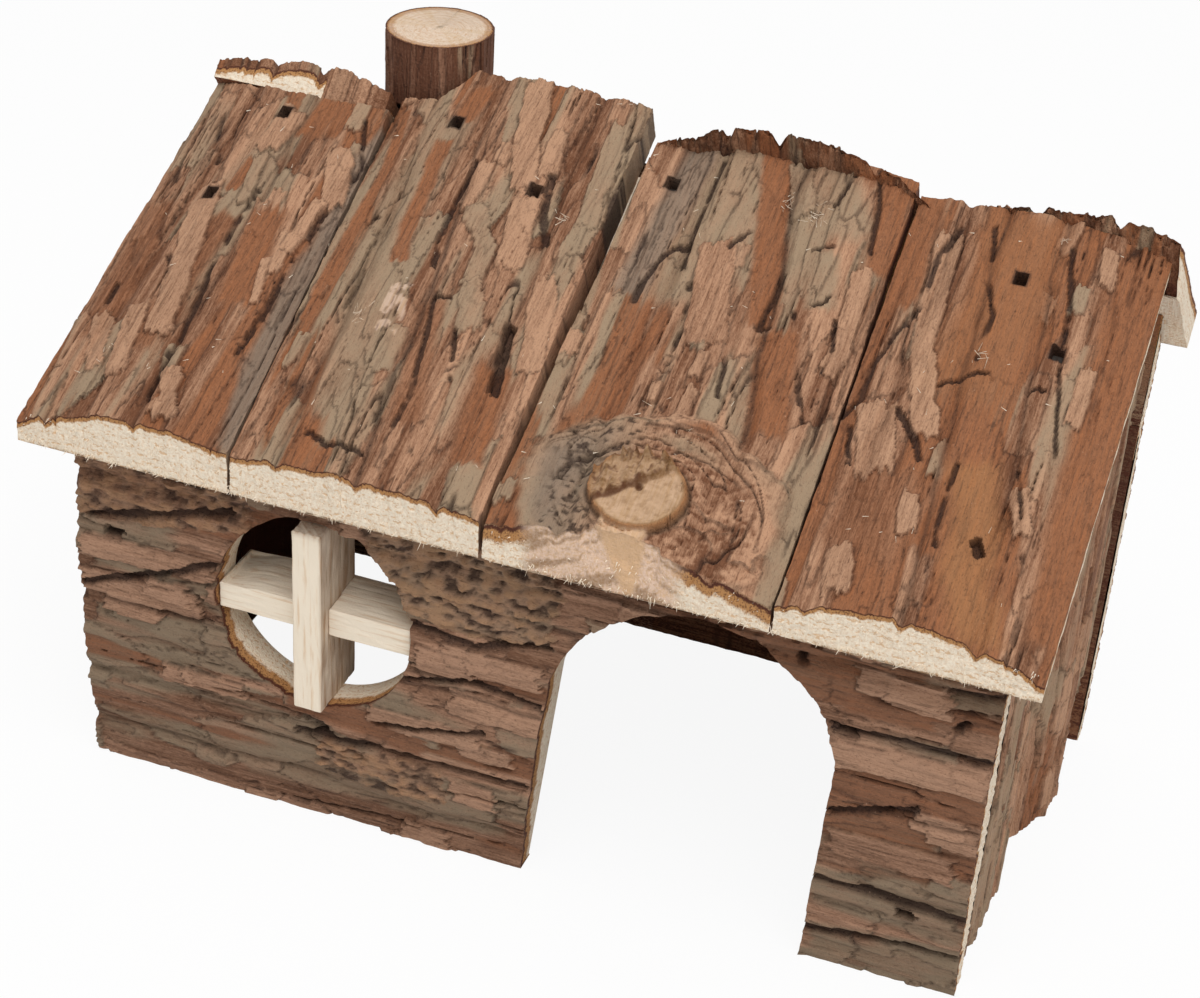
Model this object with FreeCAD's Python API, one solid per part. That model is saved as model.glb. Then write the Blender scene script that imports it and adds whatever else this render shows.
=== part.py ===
import FreeCAD, Part
import math
import os

# Hamster house of bark-covered log slabs, nailed together. Millimetres, +Z up.
# The origin is on the floor under the middle of the roof, and the door faces -Y.
# Every slab has one sawn flat face, towards the room, and one round face with bark on it.

Vector = FreeCAD.Vector

# Roof slopes
FRONT_PITCH = 24.1                # degrees
REAR_PITCH = 47.0                 # degrees
EAVE_HEIGHT = 81.5                # floor to the underside of the front eave
FRONT_RUN = 91.4                  # level distance from the front eave to the ridge
REAR_SLOPE = 32.8                 # ridge to rear eave, along the underside
FRONT_OVERHANG = 8.0              # front eave to the face of the front wall's foot

# Roof slabs from left to right, at the low and at the high end of each slope.
# A slab is thickest at its crown, whose place is measured from the slab's left edge.
FRONT_EAVE_WIDTHS = (47.7, 52.6, 57.6, 50.6)
FRONT_EAVE_LEFT_EDGES = (4.2, 9.0, 8.0, 5.5)
FRONT_EAVE_CROWNS = (11.2, 10.2, 10.6, 10.0)
FRONT_EAVE_RIGHT_EDGES = (9.0, 8.0, 4.8, 3.2)
FRONT_EAVE_CROWN_OFFSETS = (31.0, 27.0, 30.0, 24.0)
FRONT_EAVE_GAPS = (0.5, 0.5, 0.5)
# Furrows of each slab, as shares of its width from its left edge
FRONT_EAVE_FURROWS = ((0.13, 0.56), (0.20, 0.53, 0.84), (0.26, 0.81), (0.10, 0.48, 0.77))

FRONT_RIDGE_WIDTHS = (41.7, 55.1, 55.9, 52.3)
FRONT_RIDGE_LEFT_EDGES = (4.0, 6.5, 7.0, 7.0)
FRONT_RIDGE_CROWNS = (9.0, 10.8, 10.4, 8.8)
FRONT_RIDGE_RIGHT_EDGES = (7.5, 9.0, 7.0, 4.2)
FRONT_RIDGE_CROWN_OFFSETS = (26.0, 27.0, 28.0, 22.0)
FRONT_RIDGE_GAPS = (0.6, 3.4, 1.0)
FRONT_RIDGE_FURROWS = ((0.31, 0.60), (0.14, 0.38, 0.79), (0.28, 0.55), (0.21, 0.32, 0.54))

REAR_EAVE_WIDTHS = (45.0, 59.0, 66.0, 47.0)
REAR_EAVE_LEFT_EDGES = (5.0, 5.2, 5.5, 5.5)
REAR_EAVE_CROWNS = (8.4, 9.4, 10.4, 9.4)
REAR_EAVE_RIGHT_EDGES = (5.2, 5.0, 4.4, 8.8)
REAR_EAVE_CROWN_OFFSETS = (18.0, 30.0, 32.0, 26.0)
REAR_EAVE_GAPS = (1.0, 1.0, 1.0)
REAR_EAVE_FURROWS = ((0.30, 0.68), (0.34, 0.62, 0.84), (0.20, 0.44, 0.78), (0.30, 0.70))
REAR_EAVE_SPLAY = 5.0             # the rear slabs stand out this far beyond the front ones at the eave

REAR_RIDGE_WIDTHS = (41.1, 55.0, 64.0, 44.5)
REAR_RIDGE_LEFT_EDGES = (5.0, 5.2, 6.0, 5.5)
REAR_RIDGE_CROWNS = (8.0, 9.4, 11.0, 8.2)
REAR_RIDGE_RIGHT_EDGES = (5.0, 5.0, 4.0, 7.5)
REAR_RIDGE_CROWN_OFFSETS = (16.0, 28.0, 28.0, 20.0)
REAR_RIDGE_GAPS = (1.2, 4.2, 1.5)
REAR_RIDGE_FURROWS = ((0.34, 0.60), (0.34, 0.60, 0.82), (0.24, 0.42, 0.74), (0.34, 0.72))

# Ridge
OVERRUN_SLAB = 1                  # index of the front slab that runs on over the ridge
OVERRUN = 12.2                    # how far it runs on, along the front slope
LAPPED_SLAB = 0                   # index of the front slab that ends against its rear slab's flat face
REAR_RUN_UP_LENGTHS = (7.4, 12.0, 11.0, 7.0)   # how far the rear slabs run up past the ridge

# Furrows in the bark, along the grain of every slab
FURROW_WIDTH = 3.4
FURROW_DEPTH = 1.5

# Knot, the sawn stub of a branch that stands out of one front slab, cut off plumb at the eave
KNOT_SLAB = 2                     # index of the front slab
KNOT_OFFSET = 27.3                # slab's left edge to the stub's middle
KNOT_DISTANCE = 14.6              # front eave to the stub's middle, up the slope
KNOT_RADIUS = 9.4
KNOT_RISE = 3.0                   # the stub's sawn face over the slab's crown

# Room
ROOM_WIDTH = 175.0
REAR_WALL_SETBACK = 10.6          # ridge to the rear wall's flat face

# Front wall
FRONT_WALL_EDGE = 6.0             # thickness at the foot and at the top
FRONT_WALL_CROWN = 10.0           # thickness half way up
FRONT_WALL_RIGHT_REVEAL = 0.7     # the wall's end beyond the side wall's outer edge
FRONT_WALL_LEFT_REVEAL = -1.3
FRONT_WALL_FURROWS = (0.115, 0.275, 0.51, 0.68, 0.84)   # shares of the wall's height

# Doorway
DOOR_LEFT = 4.0                   # left jamb at the floor, from the middle of the house
DOOR_WIDTH = 61.5                 # at the floor
DOOR_SPRING = 53.0                # height where the arch starts
DOOR_HEIGHT = 75.6
DOOR_LEFT_LEAN = 5.5              # how far each jamb leans to the right, up to the arch
DOOR_RIGHT_LEAN = 3.0

# Round window and its cross of two half-lapped strips
WINDOW_X = -42.0
WINDOW_Z = 53.3
WINDOW_RADIUS = 21.9
BAR_WIDTH = 6.3
BAR_END_CLEARANCE = 0.05
UPRIGHT_PROUD = 1.5               # the upright's face beyond the thickest part of the wall
UPRIGHT_DEPTH = 16.5
CROSS_SETBACK = 3.5               # the cross bar's face behind the upright's face
CROSS_DEPTH = 14.0
LAP_DEPTH = 10.0                  # depth of the upright in front of the cross bar
CROSS_DROP = 0.8                  # the cross bar's middle under the middle of the window

# Side walls, two slabs each with upright grain
SIDE_EDGE = 9.8                   # thickness at the slabs' edges
SIDE_FRONT_WIDTH = 46.0
SIDE_JOINT = 0.6
RIGHT_FRONT_CROWN = 11.2
RIGHT_REAR_CROWN = 16.6
LEFT_FRONT_CROWN = 12.6
LEFT_REAR_CROWN = 14.2
SIDE_FURROWS = (0.32, 0.68)       # shares of each slab's width, from the front

# Rear wall, two level slabs
REAR_WALL_EDGE = 6.0
REAR_LOWER_CROWN = 10.0
REAR_UPPER_CROWN = 9.2
REAR_LOWER_HEIGHT = 84.0
REAR_LOWER_FURROWS = (0.13, 0.33, 0.52, 0.69, 0.87)   # shares of the slab's height
REAR_UPPER_FURROWS = (0.65,)
REAR_WALL_RIGHT_OVERSAIL = 7.4    # the wall's end beyond the side wall's outer edge
REAR_WALL_LEFT_OVERSAIL = 5.0

# Batten under the ridge, from side wall to side wall
BATTEN_WIDTH = 22.0
BATTEN_THICKNESS = 8.0

# Chimney, a piece of round branch
CHIMNEY_X = -59.7
CHIMNEY_BACK = 14.6               # ridge to the chimney's middle
CHIMNEY_RADIUS = 12.3
CHIMNEY_RISE = 18.4               # ridge to the chimney's top
CHIMNEY_SEAT = 4.0                # rear slope's flat face to the lowest part of the chimney's seat

# Brads with flat rectangular heads, sunk in pits
HEAD_WIDTH = 2.8
HEAD_LENGTH = 3.8
HEAD_THICKNESS = 1.0
SHANK = 1.6                       # square
BRAD_LENGTH = 12.0                # head and shank
PIT_DEPTH = 12.0                  # pits are cut this far out from the head, past the bark
ROOF_GRIP = 4.6                   # roof slab left under a head
WALL_GRIP = 4.6                   # wall slab left under a head

# Brads of the front slope: place across the roof, and distance down from the ridge
FRONT_ROOF_BRADS = ((-90.1, 34.8), (-83.5, 10.1), (-46.4, 3.1), (-22.8, 17.9),
                    (3.2, 6.6), (78.1, 12.2), (89.3, 27.8))
# Brads of the rear slope: places across the roof, and distance down from the ridge
REAR_BATTEN_BRADS = (-76.0, -34.0, 30.0, 72.0)
REAR_BATTEN_BRAD_DROP = 4.6
REAR_EAVE_BRADS = (-88.0, -34.0, 30.0, 88.0)
REAR_EAVE_BRAD_DROP = 20.2
# Brads of the walls: heights over the floor
FRONT_WALL_RIGHT_BRADS = (20.0, 67.4)
FRONT_WALL_LEFT_BRADS = (14.0, 38.0)
REAR_LOWER_BRADS = (18.0, 62.0)
REAR_UPPER_BRAD = 12.0            # over the top of the lower slab
WALL_BRAD_INSET = 2.6             # side wall's flat face to the middle of a wall brad
CHIMNEY_BRAD_OFFSET = 3.4         # chimney's middle to its brad, away from the slab joint

FAR = 400.0                       # longer than the house, for cutting tools


def tangent(degrees):
    return math.tan(math.radians(degrees))


def slope_vectors(pitch, sign):
    """Unit vectors up a slope and out of it; sign is +1 when it rises towards +Y."""
    angle = math.radians(pitch)
    along = Vector(0, sign * math.cos(angle), math.sin(angle))
    out = Vector(0, -sign * math.sin(angle), math.cos(angle))
    return along, out


front_up, front_out = slope_vectors(FRONT_PITCH, 1)
rear_up, rear_out = slope_vectors(REAR_PITCH, -1)

rear_eave_thickness = max(REAR_EAVE_CROWNS)
roof_depth = FRONT_RUN - rear_up.y * REAR_SLOPE + rear_out.y * rear_eave_thickness
front_eave_y = -roof_depth / 2
front_eave = Vector(0, front_eave_y, EAVE_HEIGHT)
ridge = front_eave + Vector(0, FRONT_RUN, FRONT_RUN * tangent(FRONT_PITCH))
roof_left = -(sum(FRONT_EAVE_WIDTHS) + sum(FRONT_EAVE_GAPS)) / 2

room_front = front_eave_y + FRONT_OVERHANG + FRONT_WALL_EDGE
room_rear = ridge.y + REAR_WALL_SETBACK
front_wall_height = EAVE_HEIGHT + (room_front - front_eave_y) * tangent(FRONT_PITCH)
rear_wall_height = ridge.z - (room_rear - ridge.y) * tangent(REAR_PITCH)
side_face = ROOM_WIDTH / 2
side_outer = side_face + SIDE_EDGE
chimney_y = ridge.y + CHIMNEY_BACK


def section(points, x_low=-FAR, x_high=FAR):
    """Solid from a closed outline in the plane of the gables, running along X."""
    corners = [Vector(x_low, point.y, point.z) for point in points]
    outline = Part.makePolygon(corners + corners[:1])
    return Part.Face(outline).extrude(Vector(x_high - x_low, 0, 0))


def box(low, high):
    size = high - low
    return Part.makeBox(size.x, size.y, size.z, low)


def back_height(left, crown, right, offset):
    """Height of a slab's round back at an offset: x is an offset and y a height in all three places."""
    circle = Part.Arc(left, crown, right).toShape().Curve
    return circle.Center.y + math.sqrt(circle.Radius ** 2 - (offset - circle.Center.x) ** 2)


def notch(surface, across, out):
    """Closed outline of a furrow's section, for a place on the bark."""
    tip = surface - out * FURROW_DEPTH
    rim = surface + out * FURROW_DEPTH
    corners = [tip, rim + across * FURROW_WIDTH, rim - across * FURROW_WIDTH]
    return Part.makePolygon(corners + corners[:1])


class Row:
    """The cross-sections of four roof slabs, side by side on one line across the roof."""

    def __init__(self, left, widths, left_edges, crowns, right_edges, crown_offsets, gaps, furrows):
        self.widths = widths
        self.left_edges = left_edges
        self.crowns = crowns
        self.right_edges = right_edges
        self.crown_offsets = crown_offsets
        self.furrows = furrows
        self.places = [left]
        for width, gap in zip(widths, gaps):
            self.places.append(self.places[-1] + width + gap)

    def outline(self, index, line, out):
        """One slab's outline: its flat lies on the line, its round back is towards out."""
        left = line + Vector(self.places[index], 0, 0)
        right = left + Vector(self.widths[index], 0, 0)
        left_top = left + out * self.left_edges[index]
        right_top = right + out * self.right_edges[index]
        crown = left + Vector(self.crown_offsets[index], 0, 0) + out * self.crowns[index]
        return Part.Wire([
            Part.LineSegment(left, right).toShape(),
            Part.LineSegment(right, right_top).toShape(),
            Part.Arc(right_top, crown, left_top).toShape(),
            Part.LineSegment(left_top, left).toShape(),
        ])

    def notches(self, index, line, out):
        """The sections of one slab's furrows."""
        left = Vector(0, self.left_edges[index])
        crown = Vector(self.crown_offsets[index], self.crowns[index])
        right = Vector(self.widths[index], self.right_edges[index])
        outlines = []
        for share in self.furrows[index]:
            offset = share * self.widths[index]
            height = back_height(left, crown, right, offset)
            surface = line + Vector(self.places[index] + offset, 0, 0) + out * height
            outlines.append(notch(surface, Vector(1, 0, 0), out))
        return outlines


front_eave_row = Row(roof_left, FRONT_EAVE_WIDTHS, FRONT_EAVE_LEFT_EDGES, FRONT_EAVE_CROWNS,
                     FRONT_EAVE_RIGHT_EDGES, FRONT_EAVE_CROWN_OFFSETS, FRONT_EAVE_GAPS,
                     FRONT_EAVE_FURROWS)
front_ridge_row = Row(roof_left, FRONT_RIDGE_WIDTHS, FRONT_RIDGE_LEFT_EDGES, FRONT_RIDGE_CROWNS,
                      FRONT_RIDGE_RIGHT_EDGES, FRONT_RIDGE_CROWN_OFFSETS, FRONT_RIDGE_GAPS,
                      FRONT_RIDGE_FURROWS)
rear_eave_row = Row(roof_left - REAR_EAVE_SPLAY, REAR_EAVE_WIDTHS, REAR_EAVE_LEFT_EDGES,
                    REAR_EAVE_CROWNS, REAR_EAVE_RIGHT_EDGES, REAR_EAVE_CROWN_OFFSETS, REAR_EAVE_GAPS,
                    REAR_EAVE_FURROWS)
rear_ridge_row = Row(roof_left, REAR_RIDGE_WIDTHS, REAR_RIDGE_LEFT_EDGES, REAR_RIDGE_CROWNS,
                     REAR_RIDGE_RIGHT_EDGES, REAR_RIDGE_CROWN_OFFSETS, REAR_RIDGE_GAPS,
                     REAR_RIDGE_FURROWS)


def roof_slab(index, low_row, low_line, high_row, high_line, out):
    """Tapering slab between its outlines at two lines across the roof, with its furrows."""
    low = low_row.outline(index, low_line, out)
    high = high_row.outline(index, high_line, out)
    slab = Part.makeLoft([low, high], True, True)
    low_notches = low_row.notches(index, low_line, out)
    high_notches = high_row.notches(index, high_line, out)
    for low_notch, high_notch in zip(low_notches, high_notches):
        slab = slab.cut(Part.makeLoft([low_notch, high_notch], True, True))
    return slab


def knot_stub():
    """Stub of a branch, from inside its slab to its sawn face."""
    inside = front_eave_row.right_edges[KNOT_SLAB]
    face = front_eave_row.crowns[KNOT_SLAB] + KNOT_RISE
    across = Vector(front_eave_row.places[KNOT_SLAB] + KNOT_OFFSET, 0, 0)
    foot = front_eave + across + front_up * KNOT_DISTANCE + front_out * inside
    return Part.makeCylinder(KNOT_RADIUS, face - inside, foot, front_out)


def front_roof_slab(index):
    """Plumb at the eave, and sawn square or along the rear slope at the ridge."""
    low_line = front_eave - front_up * FRONT_OVERHANG
    high_line = ridge + front_up * (OVERRUN + FRONT_OVERHANG)
    slab = roof_slab(index, front_eave_row, low_line, front_ridge_row, high_line, front_out)
    if index == KNOT_SLAB:
        slab = slab.fuse(knot_stub())
    beyond_eave = box(Vector(-FAR, -FAR, -FAR), Vector(FAR, front_eave_y, FAR))
    foot = ridge + front_up * OVERRUN if index == OVERRUN_SLAB else ridge
    rise = rear_up if index == LAPPED_SLAB else front_out
    back = Vector(0, FAR, 0)
    beyond_ridge = section([foot - rise * FAR, foot + rise * FAR,
                            foot + rise * FAR + back, foot - rise * FAR + back])
    slab = slab.cut(beyond_eave).cut(beyond_ridge)
    if index == OVERRUN_SLAB:
        slab = slab.cut(chimney_branch(0))
    return slab


def rear_roof_slab(index):
    """Sawn square at the eave, and scribed to the front slabs where they meet it."""
    low_line = ridge - rear_up * REAR_SLOPE
    high_line = ridge + rear_up * REAR_RUN_UP_LENGTHS[index]
    slab = roof_slab(index, rear_eave_row, low_line, rear_ridge_row, high_line, rear_out)
    if index == LAPPED_SLAB:
        return slab
    if index == OVERRUN_SLAB:
        rise = Vector(0, 0, FAR)
        front_slab = section([ridge - front_up * FAR, ridge + front_up * FAR,
                              ridge + front_up * FAR + rise, ridge - front_up * FAR + rise])
    else:
        before = Vector(0, -FAR, 0)
        front_slab = section([ridge, ridge + front_out * FAR,
                              ridge + front_out * FAR + before, ridge + before])
    return slab.cut(front_slab)


def above_roof():
    """Everything above the flat undersides of both slopes."""
    low_front = ridge - front_up * FAR
    low_rear = ridge - rear_up * FAR
    return section([low_front, ridge, low_rear, Vector(0, low_rear.y, FAR), Vector(0, low_front.y, FAR)])


def wall_slab(face_y, edge, crown, sign, z_low, height, x_low, x_high, furrows):
    """Level slab: flat face at face_y, round back towards sign along Y, furrows at shares of its height."""
    inner_low = Vector(x_low, face_y, z_low)
    inner_high = Vector(x_low, face_y, z_low + height)
    outer_low = inner_low + Vector(0, sign * edge, 0)
    outer_high = inner_high + Vector(0, sign * edge, 0)
    middle = Vector(x_low, face_y + sign * crown, z_low + height / 2)
    outline = Part.Wire([
        Part.LineSegment(inner_low, outer_low).toShape(),
        Part.Arc(outer_low, middle, outer_high).toShape(),
        Part.LineSegment(outer_high, inner_high).toShape(),
        Part.LineSegment(inner_high, inner_low).toShape(),
    ])
    run = Vector(x_high - x_low, 0, 0)
    slab = Part.Face(outline).extrude(run)
    for share in furrows:
        place = share * height
        out = back_height(Vector(0, edge), Vector(height / 2, crown), Vector(height, edge), place)
        surface = inner_low + Vector(0, sign * out, place)
        slab = slab.cut(Part.Face(notch(surface, Vector(0, 0, 1), Vector(0, sign, 0))).extrude(run))
    return slab


def doorway():
    """Arched opening with leaning jambs, cut right through the front wall."""
    left_foot = Vector(DOOR_LEFT, -FAR, 0)
    right_foot = left_foot + Vector(DOOR_WIDTH, 0, 0)
    left_spring = left_foot + Vector(DOOR_LEFT_LEAN, 0, DOOR_SPRING)
    right_spring = right_foot + Vector(DOOR_RIGHT_LEAN, 0, DOOR_SPRING)
    top = Vector((left_spring.x + right_spring.x) / 2, -FAR, DOOR_HEIGHT)
    outline = Part.Wire([
        Part.LineSegment(left_foot, right_foot).toShape(),
        Part.LineSegment(right_foot, right_spring).toShape(),
        Part.Arc(right_spring, top, left_spring).toShape(),
        Part.LineSegment(left_spring, left_foot).toShape(),
    ])
    return Part.Face(outline).extrude(Vector(0, FAR + room_front + FRONT_WALL_CROWN, 0))


def front_wall():
    slab = wall_slab(room_front, FRONT_WALL_EDGE, FRONT_WALL_CROWN, -1, 0, front_wall_height,
                     -side_outer - FRONT_WALL_LEFT_REVEAL, side_outer + FRONT_WALL_RIGHT_REVEAL,
                     FRONT_WALL_FURROWS)
    window = Part.makeCylinder(WINDOW_RADIUS, FAR, Vector(WINDOW_X, -FAR / 2, WINDOW_Z), Vector(0, 1, 0))
    return slab.cut(above_roof()).cut(doorway()).cut(window)


def window_bars():
    """Upright and cross bar, half-lapped where they cross, ends just inside the round."""
    half_width = BAR_WIDTH / 2
    upright_half = math.sqrt(WINDOW_RADIUS ** 2 - half_width ** 2) - BAR_END_CLEARANCE
    cross_edge = half_width + CROSS_DROP
    cross_half = math.sqrt(WINDOW_RADIUS ** 2 - cross_edge ** 2) - BAR_END_CLEARANCE
    middle = Vector(WINDOW_X, room_front - FRONT_WALL_CROWN - UPRIGHT_PROUD, WINDOW_Z)
    upright = box(middle + Vector(-half_width, 0, -upright_half),
                  middle + Vector(half_width, UPRIGHT_DEPTH, upright_half))
    cross_low = -half_width - CROSS_DROP
    cross = box(middle + Vector(-cross_half, CROSS_SETBACK, cross_low),
                middle + Vector(cross_half, CROSS_SETBACK + CROSS_DEPTH, cross_low + BAR_WIDTH))
    behind_lap = box(middle + Vector(-FAR, LAP_DEPTH, cross_low),
                     middle + Vector(FAR, FAR, cross_low + BAR_WIDTH))
    before_lap = box(middle + Vector(-half_width, -FAR, -FAR),
                     middle + Vector(half_width, LAP_DEPTH, FAR))
    return upright.cut(behind_lap), cross.cut(before_lap)


def side_slab(side, y_low, width, crown):
    """Upright slab in a side wall: side is +1 on the right and -1 on the left."""
    inner_front = Vector(side * side_face, y_low, 0)
    inner_rear = inner_front + Vector(0, width, 0)
    outer_front = inner_front + Vector(side * SIDE_EDGE, 0, 0)
    outer_rear = inner_rear + Vector(side * SIDE_EDGE, 0, 0)
    middle = inner_front + Vector(side * crown, width / 2, 0)
    outline = Part.Wire([
        Part.LineSegment(inner_front, outer_front).toShape(),
        Part.Arc(outer_front, middle, outer_rear).toShape(),
        Part.LineSegment(outer_rear, inner_rear).toShape(),
        Part.LineSegment(inner_rear, inner_front).toShape(),
    ])
    slab = Part.Face(outline).extrude(Vector(0, 0, FAR))
    for share in SIDE_FURROWS:
        place = share * width
        out = back_height(Vector(0, SIDE_EDGE), Vector(width / 2, crown), Vector(width, SIDE_EDGE), place)
        surface = inner_front + Vector(side * out, place, 0)
        furrow = Part.Face(notch(surface, Vector(0, 1, 0), Vector(side, 0, 0))).extrude(Vector(0, 0, FAR))
        slab = slab.cut(furrow)
    return slab.cut(above_roof())


def side_walls():
    rear_start = room_front + SIDE_FRONT_WIDTH + SIDE_JOINT
    rear_width = room_rear - rear_start
    return {
        "side_wall_right_front_slab": side_slab(1, room_front, SIDE_FRONT_WIDTH, RIGHT_FRONT_CROWN),
        "side_wall_right_rear_slab": side_slab(1, rear_start, rear_width, RIGHT_REAR_CROWN),
        "side_wall_left_front_slab": side_slab(-1, room_front, SIDE_FRONT_WIDTH, LEFT_FRONT_CROWN),
        "side_wall_left_rear_slab": side_slab(-1, rear_start, rear_width, LEFT_REAR_CROWN),
    }


def rear_wall():
    x_low = -side_outer - REAR_WALL_LEFT_OVERSAIL
    x_high = side_outer + REAR_WALL_RIGHT_OVERSAIL
    lower = wall_slab(room_rear, REAR_WALL_EDGE, REAR_LOWER_CROWN, 1, 0, REAR_LOWER_HEIGHT,
                      x_low, x_high, REAR_LOWER_FURROWS)
    upper = wall_slab(room_rear, REAR_WALL_EDGE, REAR_UPPER_CROWN, 1, REAR_LOWER_HEIGHT,
                      rear_wall_height - REAR_LOWER_HEIGHT, x_low, x_high, REAR_UPPER_FURROWS)
    return lower, upper.cut(above_roof())


def ridge_batten():
    """Strip under the ridge, its rear edge bevelled to the rear slope."""
    top_front = ridge - front_up * BATTEN_WIDTH
    bottom_front = top_front - front_out * BATTEN_THICKNESS
    drop = BATTEN_THICKNESS / math.sin(math.radians(180 - FRONT_PITCH - REAR_PITCH))
    bottom_rear = ridge - rear_up * drop
    return section([top_front, ridge, bottom_rear, bottom_front], -side_face, side_face)


def chimney_branch(foot):
    """Round branch over the rear slope, its foot this far out from the flat underside."""
    start = Vector(CHIMNEY_X, chimney_y, ridge.z - FAR)
    branch = Part.makeCylinder(CHIMNEY_RADIUS, FAR + CHIMNEY_RISE, start)
    high = ridge + rear_out * foot + rear_up * FAR
    low = ridge + rear_out * foot - rear_up * FAR
    down = Vector(0, 0, -FAR * 2)
    return branch.cut(section([high, low, low + down, high + down]))


def chimney(rear_slabs):
    piece = chimney_branch(CHIMNEY_SEAT)
    for slab in rear_slabs:
        piece = piece.cut(slab)
    return max(piece.Solids, key=lambda solid: solid.Volume)


def bar_along(start, along, length, across, width, depth):
    """Rectangular bar: start is the middle of its near end."""
    side = across * (width / 2)
    rise = along.cross(across) * (depth / 2)
    corners = [start - side - rise, start + side - rise, start + side + rise, start - side + rise]
    return Part.Face(Part.makePolygon(corners + corners[:1])).extrude(along * length)


class Brad:
    """A brad's solid and the pit over its head; head is the middle of its outer face."""

    def __init__(self, head, inward):
        across = Vector(1, 0, 0)
        cap = bar_along(head, inward, HEAD_THICKNESS, across, HEAD_WIDTH, HEAD_LENGTH)
        shank = bar_along(head, inward, BRAD_LENGTH, across, SHANK, SHANK)
        self.solid = cap.fuse(shank).removeSplitter()
        self.pit = bar_along(head, inward * -1, PIT_DEPTH, across, HEAD_WIDTH, HEAD_LENGTH)


def front_roof_brads():
    brads = []
    for x, drop in FRONT_ROOF_BRADS:
        head = ridge + Vector(x, 0, 0) - front_up * drop + front_out * ROOF_GRIP
        brads.append(Brad(head, front_out * -1))
    return brads


def rear_roof_brads():
    places = [(x, REAR_BATTEN_BRAD_DROP) for x in REAR_BATTEN_BRADS]
    places += [(x, REAR_EAVE_BRAD_DROP) for x in REAR_EAVE_BRADS]
    brads = []
    for x, drop in places:
        head = ridge + Vector(x, 0, 0) - rear_up * drop + rear_out * ROOF_GRIP
        brads.append(Brad(head, rear_out * -1))
    return brads


def wall_brads(face_y, direction, places):
    """Brads through a wall slab into the side walls' edges; direction is along Y, inwards."""
    brads = []
    for side, height in places:
        head = Vector(side * (side_face + WALL_BRAD_INSET), face_y - direction * WALL_GRIP, height)
        brads.append(Brad(head, Vector(0, direction, 0)))
    return brads


def front_wall_brads():
    places = [(1, height) for height in FRONT_WALL_RIGHT_BRADS]
    places += [(-1, height) for height in FRONT_WALL_LEFT_BRADS]
    return wall_brads(room_front, 1, places)


def rear_wall_brads():
    heights = REAR_LOWER_BRADS + (REAR_LOWER_HEIGHT + REAR_UPPER_BRAD,)
    places = [(side, height) for side in (-1, 1) for height in heights]
    return wall_brads(room_rear, -1, places)


def chimney_brad():
    """Driven upwards from the room, through a rear slab, into the chimney."""
    drop = CHIMNEY_BACK / -rear_up.y
    head = ridge + Vector(CHIMNEY_X + CHIMNEY_BRAD_OFFSET, 0, 0) - rear_up * drop
    return [Brad(head, rear_out)]


def build():
    parts = {"front_wall": front_wall()}
    parts["window_upright_bar"], parts["window_cross_bar"] = window_bars()
    parts.update(side_walls())
    parts["rear_wall_lower_slab"], parts["rear_wall_upper_slab"] = rear_wall()
    rear_slabs = [rear_roof_slab(index) for index in range(len(REAR_EAVE_WIDTHS))]
    for index, rear_slab in enumerate(rear_slabs):
        parts["roof_front_slab_%d" % (index + 1)] = front_roof_slab(index)
        parts["roof_rear_slab_%d" % (index + 1)] = rear_slab
    parts["ridge_batten"] = ridge_batten()
    parts["chimney"] = chimney(rear_slabs)
    return parts


def drive(parts, brads, pitted):
    """Cut each brad's hole where it passes, and its pit in the pieces that it holds down."""
    for brad in brads:
        for name, piece in parts.items():
            if piece.BoundBox.intersect(brad.solid.BoundBox):
                piece = piece.cut(brad.solid)
            if name.startswith(pitted) and piece.BoundBox.intersect(brad.pit.BoundBox):
                piece = piece.cut(brad.pit)
            parts[name] = piece


def main():
    os.makedirs("parts", exist_ok=True)
    parts = build()
    brad_sets = {
        "front_roof_brads": (front_roof_brads(), "roof_"),
        "rear_roof_brads": (rear_roof_brads(), "roof_rear"),
        "front_wall_brads": (front_wall_brads(), "front_wall"),
        "rear_wall_brads": (rear_wall_brads(), "rear_wall"),
        "chimney_brad": (chimney_brad(), "roof_rear"),
    }
    for brads, pitted in brad_sets.values():
        drive(parts, brads, pitted)
    for name, (brads, _) in brad_sets.items():
        parts[name] = Part.makeCompound([brad.solid for brad in brads])
    for name, shape in parts.items():
        shape.exportStep("parts/%s.step" % name)
        print(name, "solids", len(shape.Solids), "valid", shape.isValid(), "mm3", round(shape.Volume))


main()
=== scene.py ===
import math
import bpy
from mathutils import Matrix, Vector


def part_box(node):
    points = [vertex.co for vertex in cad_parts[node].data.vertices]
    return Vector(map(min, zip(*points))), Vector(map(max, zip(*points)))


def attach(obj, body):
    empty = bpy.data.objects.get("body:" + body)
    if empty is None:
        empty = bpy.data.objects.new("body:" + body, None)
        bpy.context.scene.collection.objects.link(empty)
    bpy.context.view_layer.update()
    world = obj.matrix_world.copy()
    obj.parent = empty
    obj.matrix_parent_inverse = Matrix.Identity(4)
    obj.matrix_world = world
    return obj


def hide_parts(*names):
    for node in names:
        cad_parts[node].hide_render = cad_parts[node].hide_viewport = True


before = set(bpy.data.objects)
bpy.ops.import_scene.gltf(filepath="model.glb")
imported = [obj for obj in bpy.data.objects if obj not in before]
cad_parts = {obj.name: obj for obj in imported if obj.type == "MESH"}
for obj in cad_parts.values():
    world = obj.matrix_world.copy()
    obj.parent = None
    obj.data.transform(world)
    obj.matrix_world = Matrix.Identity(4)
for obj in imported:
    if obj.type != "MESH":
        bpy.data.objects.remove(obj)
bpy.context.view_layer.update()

import warnings

import bmesh
import bpy
import numpy as np
from bpy.props import FloatProperty, FloatVectorProperty, IntProperty, PointerProperty
from mathutils import Matrix, Vector
from mathutils.bvhtree import BVHTree

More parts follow.
